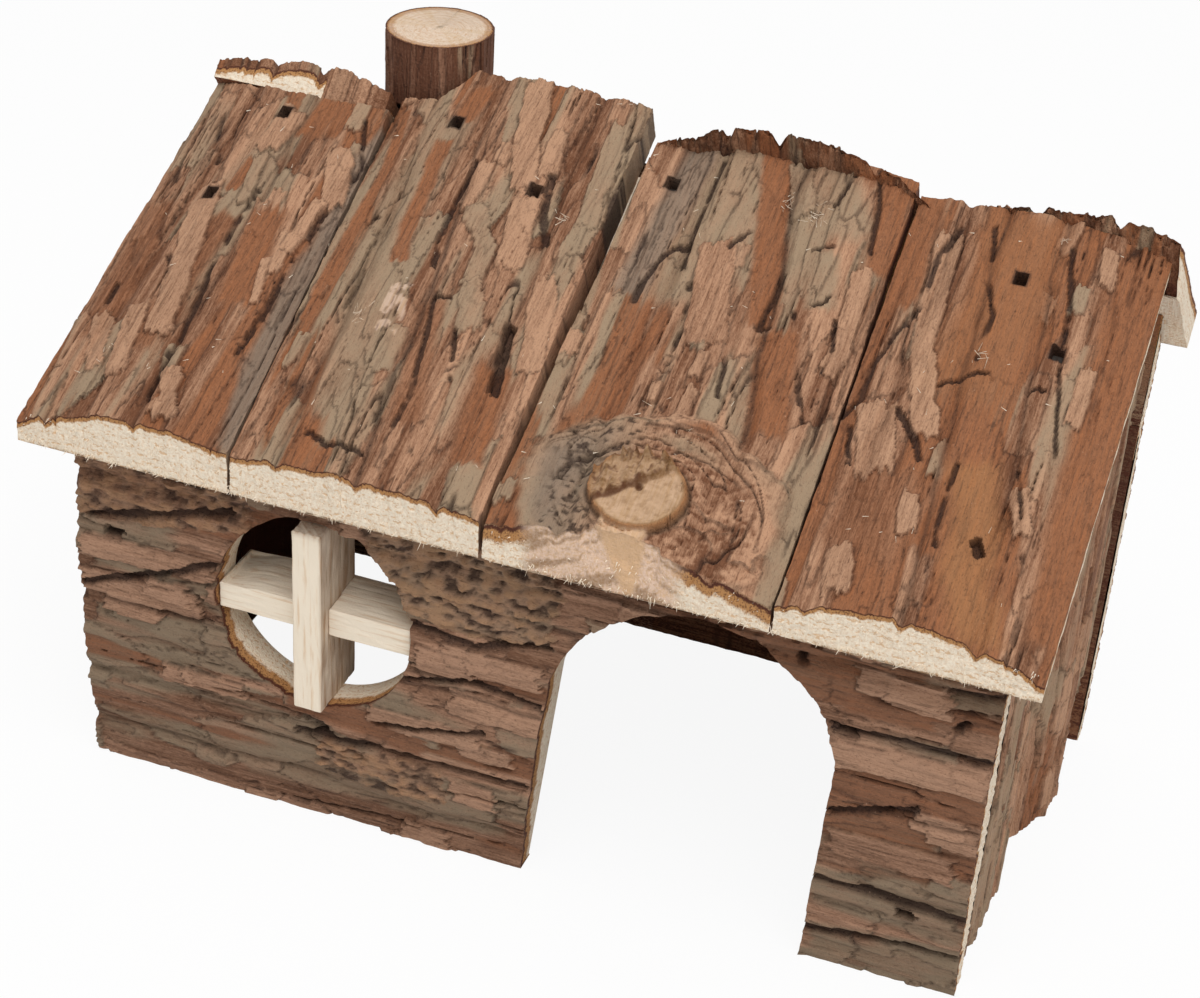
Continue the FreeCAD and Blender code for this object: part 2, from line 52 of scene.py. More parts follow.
bl_info = {
    "name": "Bark hamster house",
    "version": (1, 0, 0),
    "blender": (4, 5, 0),
    "location": "View3D > Sidebar > Hamster house",
    "description": "Dresses the frame of a small pet house of bark-covered log slabs",
    "category": "Object",
}

BODY = "root"
MM = 0.001
FAR = 9e9                             # millimetres, further than any place on the house
X_AXIS, Y_AXIS, Z_AXIS = Vector((1, 0, 0)), Vector((0, 1, 0)), Vector((0, 0, 1))


# ---------------------------------------------------------------- colours and sizes

def paint(red, green, blue):
    """A colour given as 0 to 255 on screen, as the shader's linear values."""
    return tuple(((level / 255 + 0.055) / 1.055) ** 2.4 for level in (red, green, blue))


def colour(name, description, red, green, blue):
    return FloatVectorProperty(name=name, description=description, subtype="COLOR", size=3,
                               min=0, max=1, default=paint(red, green, blue))


def number(name, description, value):
    return FloatProperty(name=name, description=description, default=value)


def length(name, description, millimetres):
    return FloatProperty(name=name, description=description, subtype="DISTANCE", unit="LENGTH",
                         precision=5, default=millimetres * MM)


class BarkLook:
    """What every bark has: the size of its plates, its relief and its colours."""
    plate_width: length("Plate width", "Width of a bark plate, across the grain", 6.5)
    plate_length: length("Plate length", "Length of a bark plate, along the grain", 24)
    layer_height: length("Layer height", "How far one flaky layer stands over the next", 0.42)
    furrow_depth: length("Furrow depth", "Depth of the cracks along the grain", 1.0)
    layers: number("Layers", "How many layers the flakes lie in", 2.4)
    flakes: number("Flakes", "Loose flakes to a square centimetre", 0.22)
    grey_flakes: number("Grey flakes", "Share of the flakes that are grey", 0.3)
    weathering: number("Weathering", "Lower values give more grey bark", 0.1)
    rawness: number("Raw bark", "Lower values give more orange inner bark", 0.2)
    inner: colour("Inner bark", "Orange-brown bark where the outer flakes are off", 166, 106, 68)
    low: colour("Low flakes", "Red-brown of the lower flakes", 116, 75, 51)
    high: colour("High flakes", "Pinkish tan of the outermost flakes", 190, 146, 115)
    weathered: colour("Weathered flakes", "Grey-olive of old flakes", 160, 136, 110)
    slate: colour("Slate furrow", "Blue-grey of smooth old furrows", 132, 117, 102)
    # Also painted as shade in holes, gaps and low places, and at the edges of flakes
    crack: colour("Cracks", "Black-brown in the cracks", 44, 27, 21)
    # Also shows the painted shade on the knot's bare wood
    rim: colour("Cut bark", "Dark line of bark at a sawn edge", 84, 46, 32)
    speck: colour("Specks", "Pale specks on the outermost flakes", 214, 176, 148)
    cambium: colour("Cambium", "Golden-brown band under the bark", 182, 133, 84)


class RoofBark(BarkLook, bpy.types.PropertyGroup):
    pass


class WallBark(BarkLook, bpy.types.PropertyGroup):
    plate_width: length("Plate width", "Width of a bark plate, across the grain", 9)
    plate_length: length("Plate length", "Length of a bark plate, along the grain", 24)
    layer_height: length("Layer height", "How far one flaky layer stands over the next", 0.55)
    furrow_depth: length("Furrow depth", "Depth of the cracks along the grain", 1.7)
    inner: colour("Inner bark", "Orange-brown bark where the outer flakes are off", 140, 92, 64)
    low: colour("Low flakes", "Brown of the lower flakes", 110, 77, 57)
    high: colour("High flakes", "Pinkish brown of the outermost flakes", 174, 134, 108)
    weathered: colour("Weathered flakes", "Grey of old flakes", 134, 115, 94)


class BranchBark(BarkLook, bpy.types.PropertyGroup):
    plate_width: length("Plate width", "Width of a bark plate, across the grain", 5)
    inner: colour("Inner bark", "Red-brown bark where the outer flakes are off", 112, 70, 48)
    low: colour("Low flakes", "Dark brown of the lower flakes", 100, 63, 45)
    high: colour("High flakes", "Grey-brown of the outermost flakes", 156, 116, 92)


class WoodLook(bpy.types.PropertyGroup):
    sawn: colour("Sawn wood", "Cream of freshly sawn wood", 240, 226, 205)
    grain: colour("Grain", "Golden-tan lines of the grain", 212, 173, 132)
    scorched: colour("Scorched wood", "Brown where the saw burnt it", 140, 98, 62)
    blush: colour("Planed wood", "Pinkish wood of the bare facet", 228, 198, 176)
    # Also carries the painted shadow along the knot's ledge
    stain: colour("Stained wood", "Brown of old wood in the knot", 132, 98, 62)
    fibre_length: length("Fibre length", "Length of a torn fibre at a sawn end", 1.3)


class SteelLook(bpy.types.PropertyGroup):
    steel: colour("Steel", "Dull, darkened steel of the brads", 62, 56, 52)
    rust: colour("Rust", "Brown stains on the brads", 44, 34, 28)


class StageLook(bpy.types.PropertyGroup):
    key: FloatProperty(name="Key light", description="Power of the large soft light over the roof",
                       subtype="POWER", default=8.5)
    fill: number("Sky light", "Strength of the even light from all round", 0.55)
    lens: FloatProperty(name="Lens", description="Focal length for a sensor 36 mm wide",
                        subtype="DISTANCE_CAMERA", default=74.42)


class MeshDetail(bpy.types.PropertyGroup):
    roof_cell: length("Roof detail", "Size of one face of the roof's bark", 0.33)
    wall_cell: length("Wall detail", "Size of one face of the walls' bark", 0.46)
    rows: IntProperty(name="Edge rows", description="Rows of faces over a slab's sawn edge",
                      default=18)


# ---------------------------------------------------------------- repeatable noise

def lattice(column, row, seed):
    """Repeatable numbers from 0 to 1 on a lattice of whole numbers."""
    mixed = column.astype(np.int64) * 374761393 + row.astype(np.int64) * 668265263 + seed * 974711
    mixed = mixed & 0xFFFFFFFF
    mixed = ((mixed ^ (mixed >> 13)) * 1274126177) & 0xFFFFFFFF
    return ((mixed ^ (mixed >> 16)) & 0xFFFF) / 0xFFFF


def noise(x, y, seed):
    """Smooth noise from -1 to 1, one bump to a unit."""
    column, row = np.floor(x), np.floor(y)
    x, y = x - column, y - row
    x, y = x * x * (3 - 2 * x), y * y * (3 - 2 * y)
    low = lattice(column, row, seed) * (1 - x) + lattice(column + 1, row, seed) * x
    high = lattice(column, row + 1, seed) * (1 - x) + lattice(column + 1, row + 1, seed) * x
    return 2 * (low * (1 - y) + high * y) - 1


def fractal(x, y, seed, octaves=4):
    """Noise with finer and finer bumps on it."""
    total = sum(noise(x * 2 ** octave, y * 2 ** octave, seed + octave) * 0.5 ** octave
                for octave in range(octaves))
    return total / (2 - 0.5 ** (octaves - 1))


def cells(x, y, seed):
    """Irregular cells: how far a point is from its cell's border, and the cell's own number."""
    column, row = np.floor(x), np.floor(y)
    nearest = np.full(x.shape, 9.0)
    second = nearest.copy()
    own = np.zeros(x.shape)
    for right in (-1, 0, 1):
        for up in (-1, 0, 1):
            near_x = column + right + 0.12 + 0.76 * lattice(column + right, row + up, seed)
            near_y = row + up + 0.12 + 0.76 * lattice(column + right, row + up, seed + 1)
            away = np.hypot(near_x - x, near_y - y)
            second = np.minimum(second, np.maximum(nearest, away))
            own = np.where(away < nearest, lattice(column + right, row + up, seed + 2), own)
            nearest = np.minimum(nearest, away)
    return second - nearest, own


def ramp(start, end, value):
    """Smooth step from 0 at start to 1 at end, either way round."""
    share = np.clip((value - start) / (end - start), 0, 1)
    return share * share * (3 - 2 * share)


def mixed(low, high, share):
    return low + (high - low) * share


# ---------------------------------------------------------------- bark

class Patterned:
    """Something with patterns of noise: each one's bump size both ways, seed and octaves."""
    PATTERNS = {}
    seed = 0

    def pattern(self, name, x, y):
        wide, long, seed, octaves = self.PATTERNS[name]
        return fractal(x / wide, y / long, self.seed + seed, octaves)


class Bark(Patterned):
    """Relief and colouring of bark, at places in millimetres across and along the grain."""

    CHANNELS = ("height", "crack", "tone", "weather", "raw", "slate", "bare", "stain")
    PATTERNS = {
        "wide_bend": (12, 30, 0, 2), "fine_bend": (2.0, 5.0, 3, 3),
        "long_bend": (8, 20, 7, 2), "torn_bend": (0.8, 9.0, 10, 3),
        "fibre": (0.42, 8.0, 46, 3), "crumb": (0.7, 1.5, 50, 3),
        "strand": (1.8, 40, 54, 3), "swell": (15, 70, 58, 2),
        "chips": (1.3, 1.6, 71, 3), "breaks": (4, 5, 73, 3), "rubble": (1.2, 2.4, 77, 5),
        "ragged_side": (1.9, 4.5, 75, 3), "ragged_end": (0.8, 9, 79, 3),
    }
    # The same with the sizes in plates of the bark
    PLATE_PATTERNS = {
        "layers": (0.9, 2.0, 18, 3), "seam": (1, 1, 43, 2), "strip": (0.85, 2.6, 69, 3),
        "stripe": (0.32, 2.2, 61, 3), "age": (0.9, 2.4, 65, 3),
    }
    # Lines of cracks: width and length in plates, thickness of the line and seed
    LONG_CRACKS = (0.9, 3.2, 0.04, 31)
    SHORT_CRACKS = (0.35, 1.1, 0.06, 37)
    # How far each of these lifts or sinks the bark, in millimetres
    FIBRE, CRUMB, STRAND, SWELL = 0.13, 0.05, 0.4, 0.5
    SHORT_CRACK, SEAM, RAW_STRIP = 0.4, 0.35, 0.4
    FLAKE_WIDTHS = (0.12, 0.34)     # half-widths of loose flakes, in plate widths
    FLAKE_LENGTHS = (1.5, 6.0)      # and their lengths, in half-widths
    SLOPE_STEP = 0.25               # millimetres over which the slope of the layers is told
    LAYER_EDGE = 0.3                # millimetres over which one layer steps up to the next
    MIDDLE_TONE = 0.46

    def __init__(self, look, across, along, seed, temper=(0, 0, 0)):
        """temper makes one slab's bark paler, greyer and more orange than the look."""
        self.across, self.along, self.seed, self.look = across, along, seed, look
        self.wide, self.long = look.plate_width / MM, look.plate_length / MM
        paler, greyer, rawer = temper
        layers, border, plate, side, reach = self.layering(across, along)
        slopes = [(self.layering(across + right, along + up)[0] - layers) / self.SLOPE_STEP
                  for right, up in ((self.SLOPE_STEP, 0), (0, self.SLOPE_STEP))]
        slope = np.maximum(np.hypot(*slopes), 0.03)
        step = np.floor(layers)
        below = (1 - (layers - step)) / slope      # distance to the edge of the next layer up
        level = step + ramp(self.LAYER_EDGE, 0.0, below)
        long_crack = self.crack_lines(*self.LONG_CRACKS)
        short_crack = self.crack_lines(*self.SHORT_CRACKS)
        seam = ramp(0.05, 0.0, border) * ramp(0.0, 0.3, self.plate_pattern("seam", across, along))
        fibre = self.pattern("fibre", across, along)
        strand = self.pattern("strand", side, reach)
        strip = self.plate_pattern("strip", side, reach) + rawer - look.rawness
        self.raw = ramp(-0.05, 0.05, strip)
        layer_height, furrow_depth = look.layer_height / MM, look.furrow_depth / MM
        self.height = (layer_height * level * (1 - 0.5 * self.raw) - self.RAW_STRIP * self.raw
                       - furrow_depth * long_crack - self.SHORT_CRACK * short_crack
                       - self.SEAM * seam + self.FIBRE * fibre + self.STRAND * strand
                       + self.CRUMB * self.pattern("crumb", across, along)
                       + self.SWELL * self.pattern("swell", across, along))
        # Painted shade: a dark line at the foot of each layer's step up, and along the edge of each
        # raw strip where the bark steps down
        foot = 0.55 * ramp(0.6, 0.2, below)
        strip_edge = 0.3 * ramp(0.05, 0.0, np.abs(strip)) * (1 - self.raw)
        darkest = np.max([long_crack, 0.8 * short_crack, 0.7 * seam, foot, strip_edge], axis=0)
        self.crack = np.clip(darkest, 0, 1)
        stripe = self.plate_pattern("stripe", side, reach)
        self.tone = np.clip(self.MIDDLE_TONE + paler + 0.1 * level + 0.3 * (plate - 0.5)
                            + 0.7 * stripe + 0.3 * fibre + 0.25 * strand, 0, 1)
        age = self.plate_pattern("age", side, reach) + 0.5 * (plate - 0.5) + greyer
        self.weather = ramp(look.weathering - 0.08, look.weathering + 0.16, age)
        self.slate, self.bare, self.stain = [np.zeros(across.shape) for _ in range(3)]

    def plate_pattern(self, name, x, y):
        wide, long, seed, octaves = self.PLATE_PATTERNS[name]
        return fractal(x / (wide * self.wide), y / (long * self.long), self.seed + seed, octaves)

    def layering(self, across, along):
        """Which flaky layer shows, its plates' borders and numbers, and the bent places."""
        side = across + 1.0 * self.pattern("wide_bend", across, along)
        side = side + 0.3 * self.pattern("fine_bend", across, along)
        reach = along + 4.0 * self.pattern("long_bend", across, along)
        reach = reach + 1.7 * self.pattern("torn_bend", across, along)
        border, plate = cells(side / self.wide, reach / self.long, self.seed + 14)
        field = self.plate_pattern("layers", side, reach)
        return self.look.layers * (field + 0.5 * (plate - 0.5)), border, plate, side, reach

    def crack_lines(self, wide, long, width, seed):
        """Jagged dark lines along the grain, which come and go."""
        wide, long, seed = wide * self.wide, long * self.long, seed + self.seed
        bent = self.across + 0.3 * fractal(self.across / 1.2, self.along / 2.4, seed, 2)
        line = np.abs(fractal(bent / wide, self.along / long, seed + 2, 3))
        shown = fractal(self.across / (1.7 * wide), self.along / (0.5 * long), seed + 5, 2)
        return ramp(width, 0.0, line) * ramp(0.0, 0.3, shown)

    def flakes(self, count, random):
        """Loose flakes with torn ends, all over the bark."""
        low = np.array([self.across.min(), self.along.min()])
        high = np.array([self.across.max(), self.along.max()])
        for _ in range(count):
            start = low + (high - low) * random.random(2)
            half_width = random.uniform(*self.FLAKE_WIDTHS) * self.wide
            lean = random.uniform(-0.1, 0.1)
            long = random.uniform(*self.FLAKE_LENGTHS) * half_width
            kind = "grey_flake" if random.random() < self.look.grey_flakes else "flake"
            self.patch(kind, half_width, start, start + (lean * long, long))

    # What a patch of each kind brings. "sink" lowers the bark it finds and "height" sets its level;
    # "rim" paints a line of shade just outside the outline and "soft" blurs it;
    # "chips" and "breaks" leave gaps
    COVER = {"weather": 0, "raw": 0, "crack": 0, "rim": 0}
    BARED = {**COVER, "raw": 1, "soft": 0.5}
    KINDS = {
        "flake": {**COVER, "height": 0.6, "tone": 0.6, "weather": 0.1, "slate": 0, "rim": 0.85},
        "grey_flake": {**COVER, "height": 0.6, "tone": 0.5, "weather": 0.9, "slate": 0,
                       "rim": 0.85},
        "brown_flake": {**COVER, "height": 0.5, "tone": 0.3, "rim": 0.8},
        "raw": {**BARED, "height": -0.3, "tone": 0.3, "rim": 0.25, "soft": 0.3},
        "red": {**BARED, "height": -0.1, "tone": 0.05, "raw": 0.45},
        "amber": {**BARED, "height": -0.2, "tone": 0.4, "stain": 0.16},
        "gold": {**BARED, "height": -0.3, "tone": 0.4, "stain": 0.5},
        "tan": {**COVER, "height": 0.3, "tone": 0.55, "weather": 0.7, "raw": 0.1, "chips": 0.2,
                "rubble": 1},
        "rough": {**COVER, "height": 0.1, "tone": 0.3, "weather": 0.3, "raw": 0.1, "chips": 0.3,
                  "rubble": 0.9},
        "grey": {"weather": 0.9, "raw": 0, "rim": 0, "soft": 0.4},
        "slate": {"height": -0.8, "slate": 0.8, "weather": 0.3, "raw": 0, "rim": 0, "soft": 0.4},
        "resin": {"height": 0.15, "slate": 0, "bare": 0.6, "rim": 0, "chips": 1.0},
        # crack, furrow and hole patches sink the bark and paint the hollow dark, partly as painted
        # shade
        "crack": {"sink": 0.9, "crack": 1, "rim": 0, "breaks": 1},
        "furrow": {"sink": 1.4, "crack": 1, "rim": 0.3},
        "hole": {"sink": 2.4, "crack": 1, "rim": 0.6},
    }
    PATCH_MARGIN = 3                # millimetres beyond a patch that its ragged outline may reach
    SHOWN_THROUGH = ("height", "tone", "crack")
    KEPT = 0.45                     # how much of these the bark below still lends to a patch

    def patch(self, kind, half_width, *points):
        """A torn-ended strip through points, given as places across and along the grain."""
        effect = dict(self.KINDS[kind])
        points = [np.array(point, dtype=float) for point in points]
        low = np.min(points, axis=0) - half_width - self.PATCH_MARGIN
        high = np.max(points, axis=0) + half_width + self.PATCH_MARGIN
        close = ((self.across > low[0]) & (self.across < high[0])
                 & (self.along > low[1]) & (self.along < high[1]))
        if not close.any():
            return
        part = self.part(close)
        away = part.strip_distance(points, half_width)
        soft = effect.pop("soft", min(0.5, 0.14 / half_width))
        inside = ramp(1 + soft, 1 - soft, away)
        chips = ramp(-0.15, 0.15, part.pattern("chips", part.across, part.along))
        breaks = ramp(-0.35, -0.05, part.pattern("breaks", part.across, part.along))
        inside = inside * mixed(1, chips, effect.pop("chips", 0))
        inside = inside * mixed(1, breaks, effect.pop("breaks", 0))
        # Painted shade: a dark line just outside the outline, such as the shadow along a raised
        # flake's edge
        rim = effect.pop("rim") * ramp(1 + 0.5 / half_width, 1, away) * (1 - inside)
        part.crack = np.maximum(part.crack, rim)
        rubble = effect.pop("rubble", 0) * inside
        sink = effect.pop("sink", 0)
        part.height = part.height - sink * inside
        for name, value in effect.items():
            found = getattr(part, name)
            if name in self.SHOWN_THROUGH and not sink:
                value = value + self.KEPT * found
            setattr(part, name, mixed(found, value, inside))
        part.crumble(rubble)
        for name in self.CHANNELS:
            getattr(self, name)[close] = getattr(part, name)

    def crumble(self, share):
        """Turns a share of the bark into small uneven crumbs, with painted shade in the gaps
        between them.
        """
        rough = self.pattern("rubble", self.across, self.along)
        self.height = self.height + 1.5 * share * rough
        self.stain = np.maximum(self.stain, 0.5 * share * ramp(-0.1, 0.3, rough))
        self.tone = np.clip(self.tone + 0.5 * share * rough, 0, 1)
        # Painted shade in the low places between the crumbs
        self.crack = np.maximum(self.crack, share * ramp(0.05, 0.32, -rough))

    def strip_distance(self, points, half_width):
        """Distance from the line through points, 1 at the strip's ragged outline."""
        rough = min(1.0, 0.3 + half_width / 3)
        side = self.across + rough * 0.7 * self.pattern("ragged_side", self.across, self.along)
        reach = self.along + rough * 2.2 * self.pattern("ragged_end", self.across, self.along)
        away = np.full(side.shape, FAR)
        if len(points) == 1:
            points = points * 2
        for start, end in zip(points, points[1:]):
            way = end - start + (0, 0.001)
            size = np.hypot(*way)
            share = ((side - start[0]) * way[0] + (reach - start[1]) * way[1]) / size
            beside = np.abs((side - start[0]) * way[1] - (reach - start[1]) * way[0]) / size
            beyond = np.maximum(np.maximum(-share, share - size), 0)
            nearest = np.maximum(np.hypot(beside, 0.5 * beyond), beyond + 0.3 * half_width)
            away = np.minimum(away, nearest)
        return away / half_width

    def part(self, chosen):
        """The same bark at only some of its places."""
        made = object.__new__(Bark)
        made.seed, made.look, made.wide, made.long = self.seed, self.look, self.wide, self.long
        for name in ("across", "along", *self.CHANNELS):
            setattr(made, name, getattr(self, name)[chosen])
        return made

    def blend(self, other, share):
        for name in self.CHANNELS:
            setattr(self, name, mixed(getattr(self, name), getattr(other, name), share))

    def pit(self, across, along, half_width, half_length, depth):
        """A straight-sided hole over a brad, painted dark inside and just round its edge as shade.
        """
        beyond = np.maximum(np.abs(self.across - across) - half_width,
                            np.abs(self.along - along) - half_length)
        self.height = np.where(beyond < 0, depth, self.height)
        # Painted shade in the pit and just round its edge
        self.crack = np.maximum(self.crack, ramp(0.7, 0.1, beyond))
        self.bare = self.bare * ramp(0.0, 0.5, beyond)


# ---------------------------------------------------------------- slabs read from the frame

def places_of(mesh):
    """The place of each of a mesh's vertices, a row for each."""
    places = np.empty(len(mesh.vertices) * 3)
    mesh.vertices.foreach_get("co", places)
    return places.reshape(-1, 3)


def mesh_of(shape, name):
    """Makes a mesh of a finished bmesh."""
    mesh = bpy.data.meshes.new(name)
    shape.to_mesh(mesh)
    shape.free()
    return mesh


def faces_tree(mesh, places):
    """A mesh's faces with its vertices at these places, for finding where lines meet it."""
    faces = [tuple(face.vertices) for face in mesh.polygons]
    return BVHTree.FromPolygons([Vector(place) for place in places], faces)


class Slab:
    """A slab of the frame, read along its axes: across the grain, along it and out to the bark."""

    LEVELS = np.linspace(0.04, 0.96, 5)
    SAMPLES = np.linspace(0.006, 0.994, 101)
    ROWS = np.linspace(0.05, 0.95, 46)
    NEAR_ROWS = 9                   # rows over which a brad's pit or a hole is told from the bark
    NEAR_SAMPLES = 13               # samples over which a furrow is told from the round back
    BELIEVED = 1.6 * MM             # a place that lies deeper than this is a pit or a hole
    CLEAR = 5 * MM                  # how far outside the slab a straight line starts
    THIN = 0.5 * MM                 # what is thinner isn't taken for the slab

    def __init__(self, node, across, along, rows=(0.1, 0.6)):
        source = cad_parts[node].data
        out = -self.flat_normal(source)
        across = (across - out * across.dot(out)).normalized()
        along = (along - out * along.dot(out) - across * along.dot(across)).normalized()
        self.axes = np.array([across, along, out])
        self.mirrored = across.cross(along).dot(out) < 0
        local = places_of(source) @ self.axes.T
        self.tree = faces_tree(source, local)
        self.low, self.high = local.min(axis=0), local.max(axis=0)
        self.flat = self.low[2]
        self.rows = [mixed(self.low[1], self.high[1], share) for share in rows]
        self.edges = np.zeros((2, 2, len(self.LEVELS)))
        for index, row in enumerate(self.rows):
            self.read_row(index, row)
        self.thickness = self.read_thickness()
        self.ends = np.array([self.read_end(self.low[1], 1), self.read_end(self.high[1], -1)])
        smooth = self.running(self.thickness, 1, self.NEAR_SAMPLES)
        self.sunk = np.maximum(smooth - self.thickness, 0)

    @staticmethod
    def flat_normal(source):
        """The direction of the slab's largest flat face."""
        areas = {}
        for face in source.polygons:
            key = tuple(round(part, 3) for part in face.normal)
            areas[key] = areas.get(key, 0) + face.area
        return Vector(max(areas, key=areas.get)).normalized()

    def reach(self, start, way):
        """Where a straight line from outside meets the slab, along one of its axes, or None."""
        place = self.tree.ray_cast(Vector(start), Vector(way))[0]
        return None if place is None else place[[abs(part) for part in way].index(1)]

    def read_row(self, index, row):
        """Where the slab's two edges lie, on one row and at each level between flat and bark."""
        left, right = self.low[0] - self.CLEAR, self.high[0] + self.CLEAR
        base = self.flat + self.THIN
        sides = [self.reach((start, row, base), (way, 0, 0))
                 for start, way in ((left, 1), (right, -1))]
        for side, start, way in ((0, left, 1), (1, right, -1)):
            inward = mixed(sides[0], sides[1], self.SAMPLES[[0, -1][side]])
            top = self.reach((inward, row, self.high[2] + self.CLEAR), (0, 0, -1)) - self.flat
            for place, level in enumerate(self.LEVELS):
                start_there = (start, row, self.flat + level * top)
                self.edges[index, side, place] = self.reach(start_there, (way, 0, 0))

    def read_thickness(self):
        """The node's thickness on a grid of rows and samples, without brad pits and openings."""
        middle = np.full(len(self.SAMPLES), 0.5)
        found = np.full((len(self.ROWS), len(self.SAMPLES)), np.nan)
        for index, row in enumerate(mixed(self.low[1], self.high[1], self.ROWS)):
            along = np.full(len(self.SAMPLES), row)
            across = mixed(self.edge(0, along, middle), self.edge(1, along, middle), self.SAMPLES)
            for place in range(len(self.SAMPLES)):
                top = self.reach((across[place], row, self.high[2] + self.CLEAR), (0, 0, -1))
                if top is not None and top - self.flat > self.THIN:
                    found[index, place] = top - self.flat
        usual = self.running(found, 0, self.NEAR_ROWS)
        whole = np.nanmedian(found, axis=0)
        whole = np.where(np.isnan(whole), np.nanmin(whole), whole)
        usual = np.where(np.isnan(usual), whole, usual)
        return np.where(usual - found < self.BELIEVED, found, usual)

    @staticmethod
    def running(grid, axis, size):
        """The median of the values near each one, along one axis of a grid."""
        border = [(0, 0), (0, 0)]
        border[axis] = (size // 2, size // 2)
        padded = np.pad(grid, border, "reflect")
        windows = np.lib.stride_tricks.sliding_window_view(padded, size, axis=axis)
        with warnings.catch_warnings():
            warnings.simplefilter("ignore")
            return np.nanmedian(windows, axis=2)

    def read_end(self, outermost, way):
        """Where the slab ends, for each sample across it and each level between flat and bark."""
        places = np.full((len(self.SAMPLES), len(self.LEVELS)), np.nan)
        along = np.full(len(self.SAMPLES), outermost)
        sides = [self.edge(side, along, np.full(len(along), 0.04)) for side in (0, 1)]
        across = mixed(sides[0], sides[1], self.SAMPLES)
        thick = self.thick(self.SAMPLES, along)
        for sample in range(len(self.SAMPLES)):
            for level, share in enumerate(self.LEVELS):
                height = self.flat + share * thick[sample]
                start = (across[sample], outermost - way * self.CLEAR, height)
                found = self.reach(start, (0, way, 0))
                if found is not None:
                    places[sample, level] = found
        known = ~np.isnan(places[:, 0])
        base = np.interp(self.SAMPLES, self.SAMPLES[known], places[known, 0])
        rise = np.outer(thick, self.LEVELS - self.LEVELS[0])
        lean = np.nanmedian((places - base[:, None])[:, 1:] / rise[:, 1:])
        return base[:, None] + lean * rise

    def on_grid(self, grid, across_share, along):
        """A value known on the relief's rows and samples, at any places."""
        row_share = (along - self.low[1]) / (self.high[1] - self.low[1])
        row, sample = [np.clip((share - steps[0]) / (steps[1] - steps[0]), 0, len(steps) - 1.001)
                       for share, steps in ((row_share, self.ROWS), (across_share, self.SAMPLES))]
        low_row, low_sample = row.astype(int), sample.astype(int)
        row, sample = row - low_row, sample - low_sample
        near = mixed(grid[low_row, low_sample], grid[low_row, low_sample + 1], sample)
        far = mixed(grid[low_row + 1, low_sample], grid[low_row + 1, low_sample + 1], sample)
        return mixed(near, far, row)

    def between_levels(self, values, share):
        """Interpolates a value known at each level, to each point's own share of the thickness."""
        levels = self.LEVELS
        place = np.clip((share - levels[0]) / (levels[1] - levels[0]), 0, len(levels) - 1)
        lower = np.minimum(place.astype(int), len(levels) - 2)
        points = np.arange(len(share))
        return mixed(values[lower, points], values[lower + 1, points], place - lower)

    def along_rows(self, first, second, along):
        return first + (second - first) * (along - self.rows[0]) / (self.rows[1] - self.rows[0])

    def edge(self, side, along, share):
        values = np.array([self.along_rows(first, second, along)
                           for first, second in zip(self.edges[0, side], self.edges[1, side])])
        return self.between_levels(values, share)

    def end(self, side, across_share, share):
        values = np.array([np.interp(across_share, self.SAMPLES, self.ends[side][:, level])
                           for level in range(len(self.LEVELS))])
        return self.between_levels(values, share)

    def thick(self, across_share, along):
        return self.on_grid(self.thickness, across_share, along)

    def place(self, unit):
        """Places across and along, in metres, for points of the unit block."""
        rim = (np.abs(unit[:, :2] - 0.5).max(axis=1) > 0.4999)
        share = np.where(rim, unit[:, 2], 1.0)
        along = mixed(self.end(0, unit[:, 0], share), self.end(1, unit[:, 0], share), unit[:, 1])
        across = mixed(self.edge(0, along, share), self.edge(1, along, share), unit[:, 0])
        return across, along

    def span(self):
        """Whole width and length, for choosing how many faces a slab gets."""
        return self.high[0] - self.low[0], self.high[1] - self.low[1]


class Opening:
    """A round or arched hole in a slab, as a distance for each direction from its middle."""

    ANGLES = np.linspace(-math.pi, math.pi, 1441)
    OPEN = 1.0                      # metres, where the hole runs out over the slab's edge

    def __init__(self, slab, across, along):
        self.slab, self.middle = slab, (across, along)
        height = slab.flat + 2 * MM
        self.radii = np.full(len(self.ANGLES), self.OPEN)
        for index, angle in enumerate(self.ANGLES):
            way = Vector((math.cos(angle), math.sin(angle), 0))
            place = slab.tree.ray_cast(Vector((across, along, height)), way)[0]
            if place is not None:
                self.radii[index] = (place - Vector((across, along, height))).length

    def outline(self, across, along):
        """Each point's distance from the middle, and the hole's radius in its direction."""
        away = np.hypot(across - self.middle[0], along - self.middle[1])
        angle = np.arctan2(along - self.middle[1], across - self.middle[0])
        return away, np.interp(angle, self.ANGLES, self.radii)

    def cut(self, block):
        """Takes the hole's faces out of a unit block's top, and fits the border to the outline."""
        unit = np.array([face.calc_center_median() for face in block.faces])
        away, radius = self.outline(*self.slab.place(unit))
        gone = [face for face, inside in zip(block.faces[:], away < radius) if inside]
        bmesh.ops.delete(block, geom=gone, context="FACES")
        border = [vert for vert in block.verts if vert.is_boundary]
        unit = np.array([vert.co for vert in border])
        across, along = self.slab.place(unit)
        away, radius = self.outline(across, along)
        near = np.abs(away - radius) < 2 * MM
        stretch = (radius - away) / np.maximum(away, MM)
        wide, long = self.slab.span()
        for vert, fits, share, high, far in zip(border, near, stretch, across, along):
            if not fits:
                continue
            if 0.0001 < vert.co.x < 0.9999:
                vert.co.x += (high - self.middle[0]) * share / wide
            vert.co.y += (far - self.middle[1]) * share / long


def open_edges(made):
    """The edges of an extrusion's result that have one face."""
    return [part for part in made if isinstance(part, bmesh.types.BMEdge) and part.is_boundary]


def vertices(made):
    return [part for part in made if isinstance(part, bmesh.types.BMVert)]


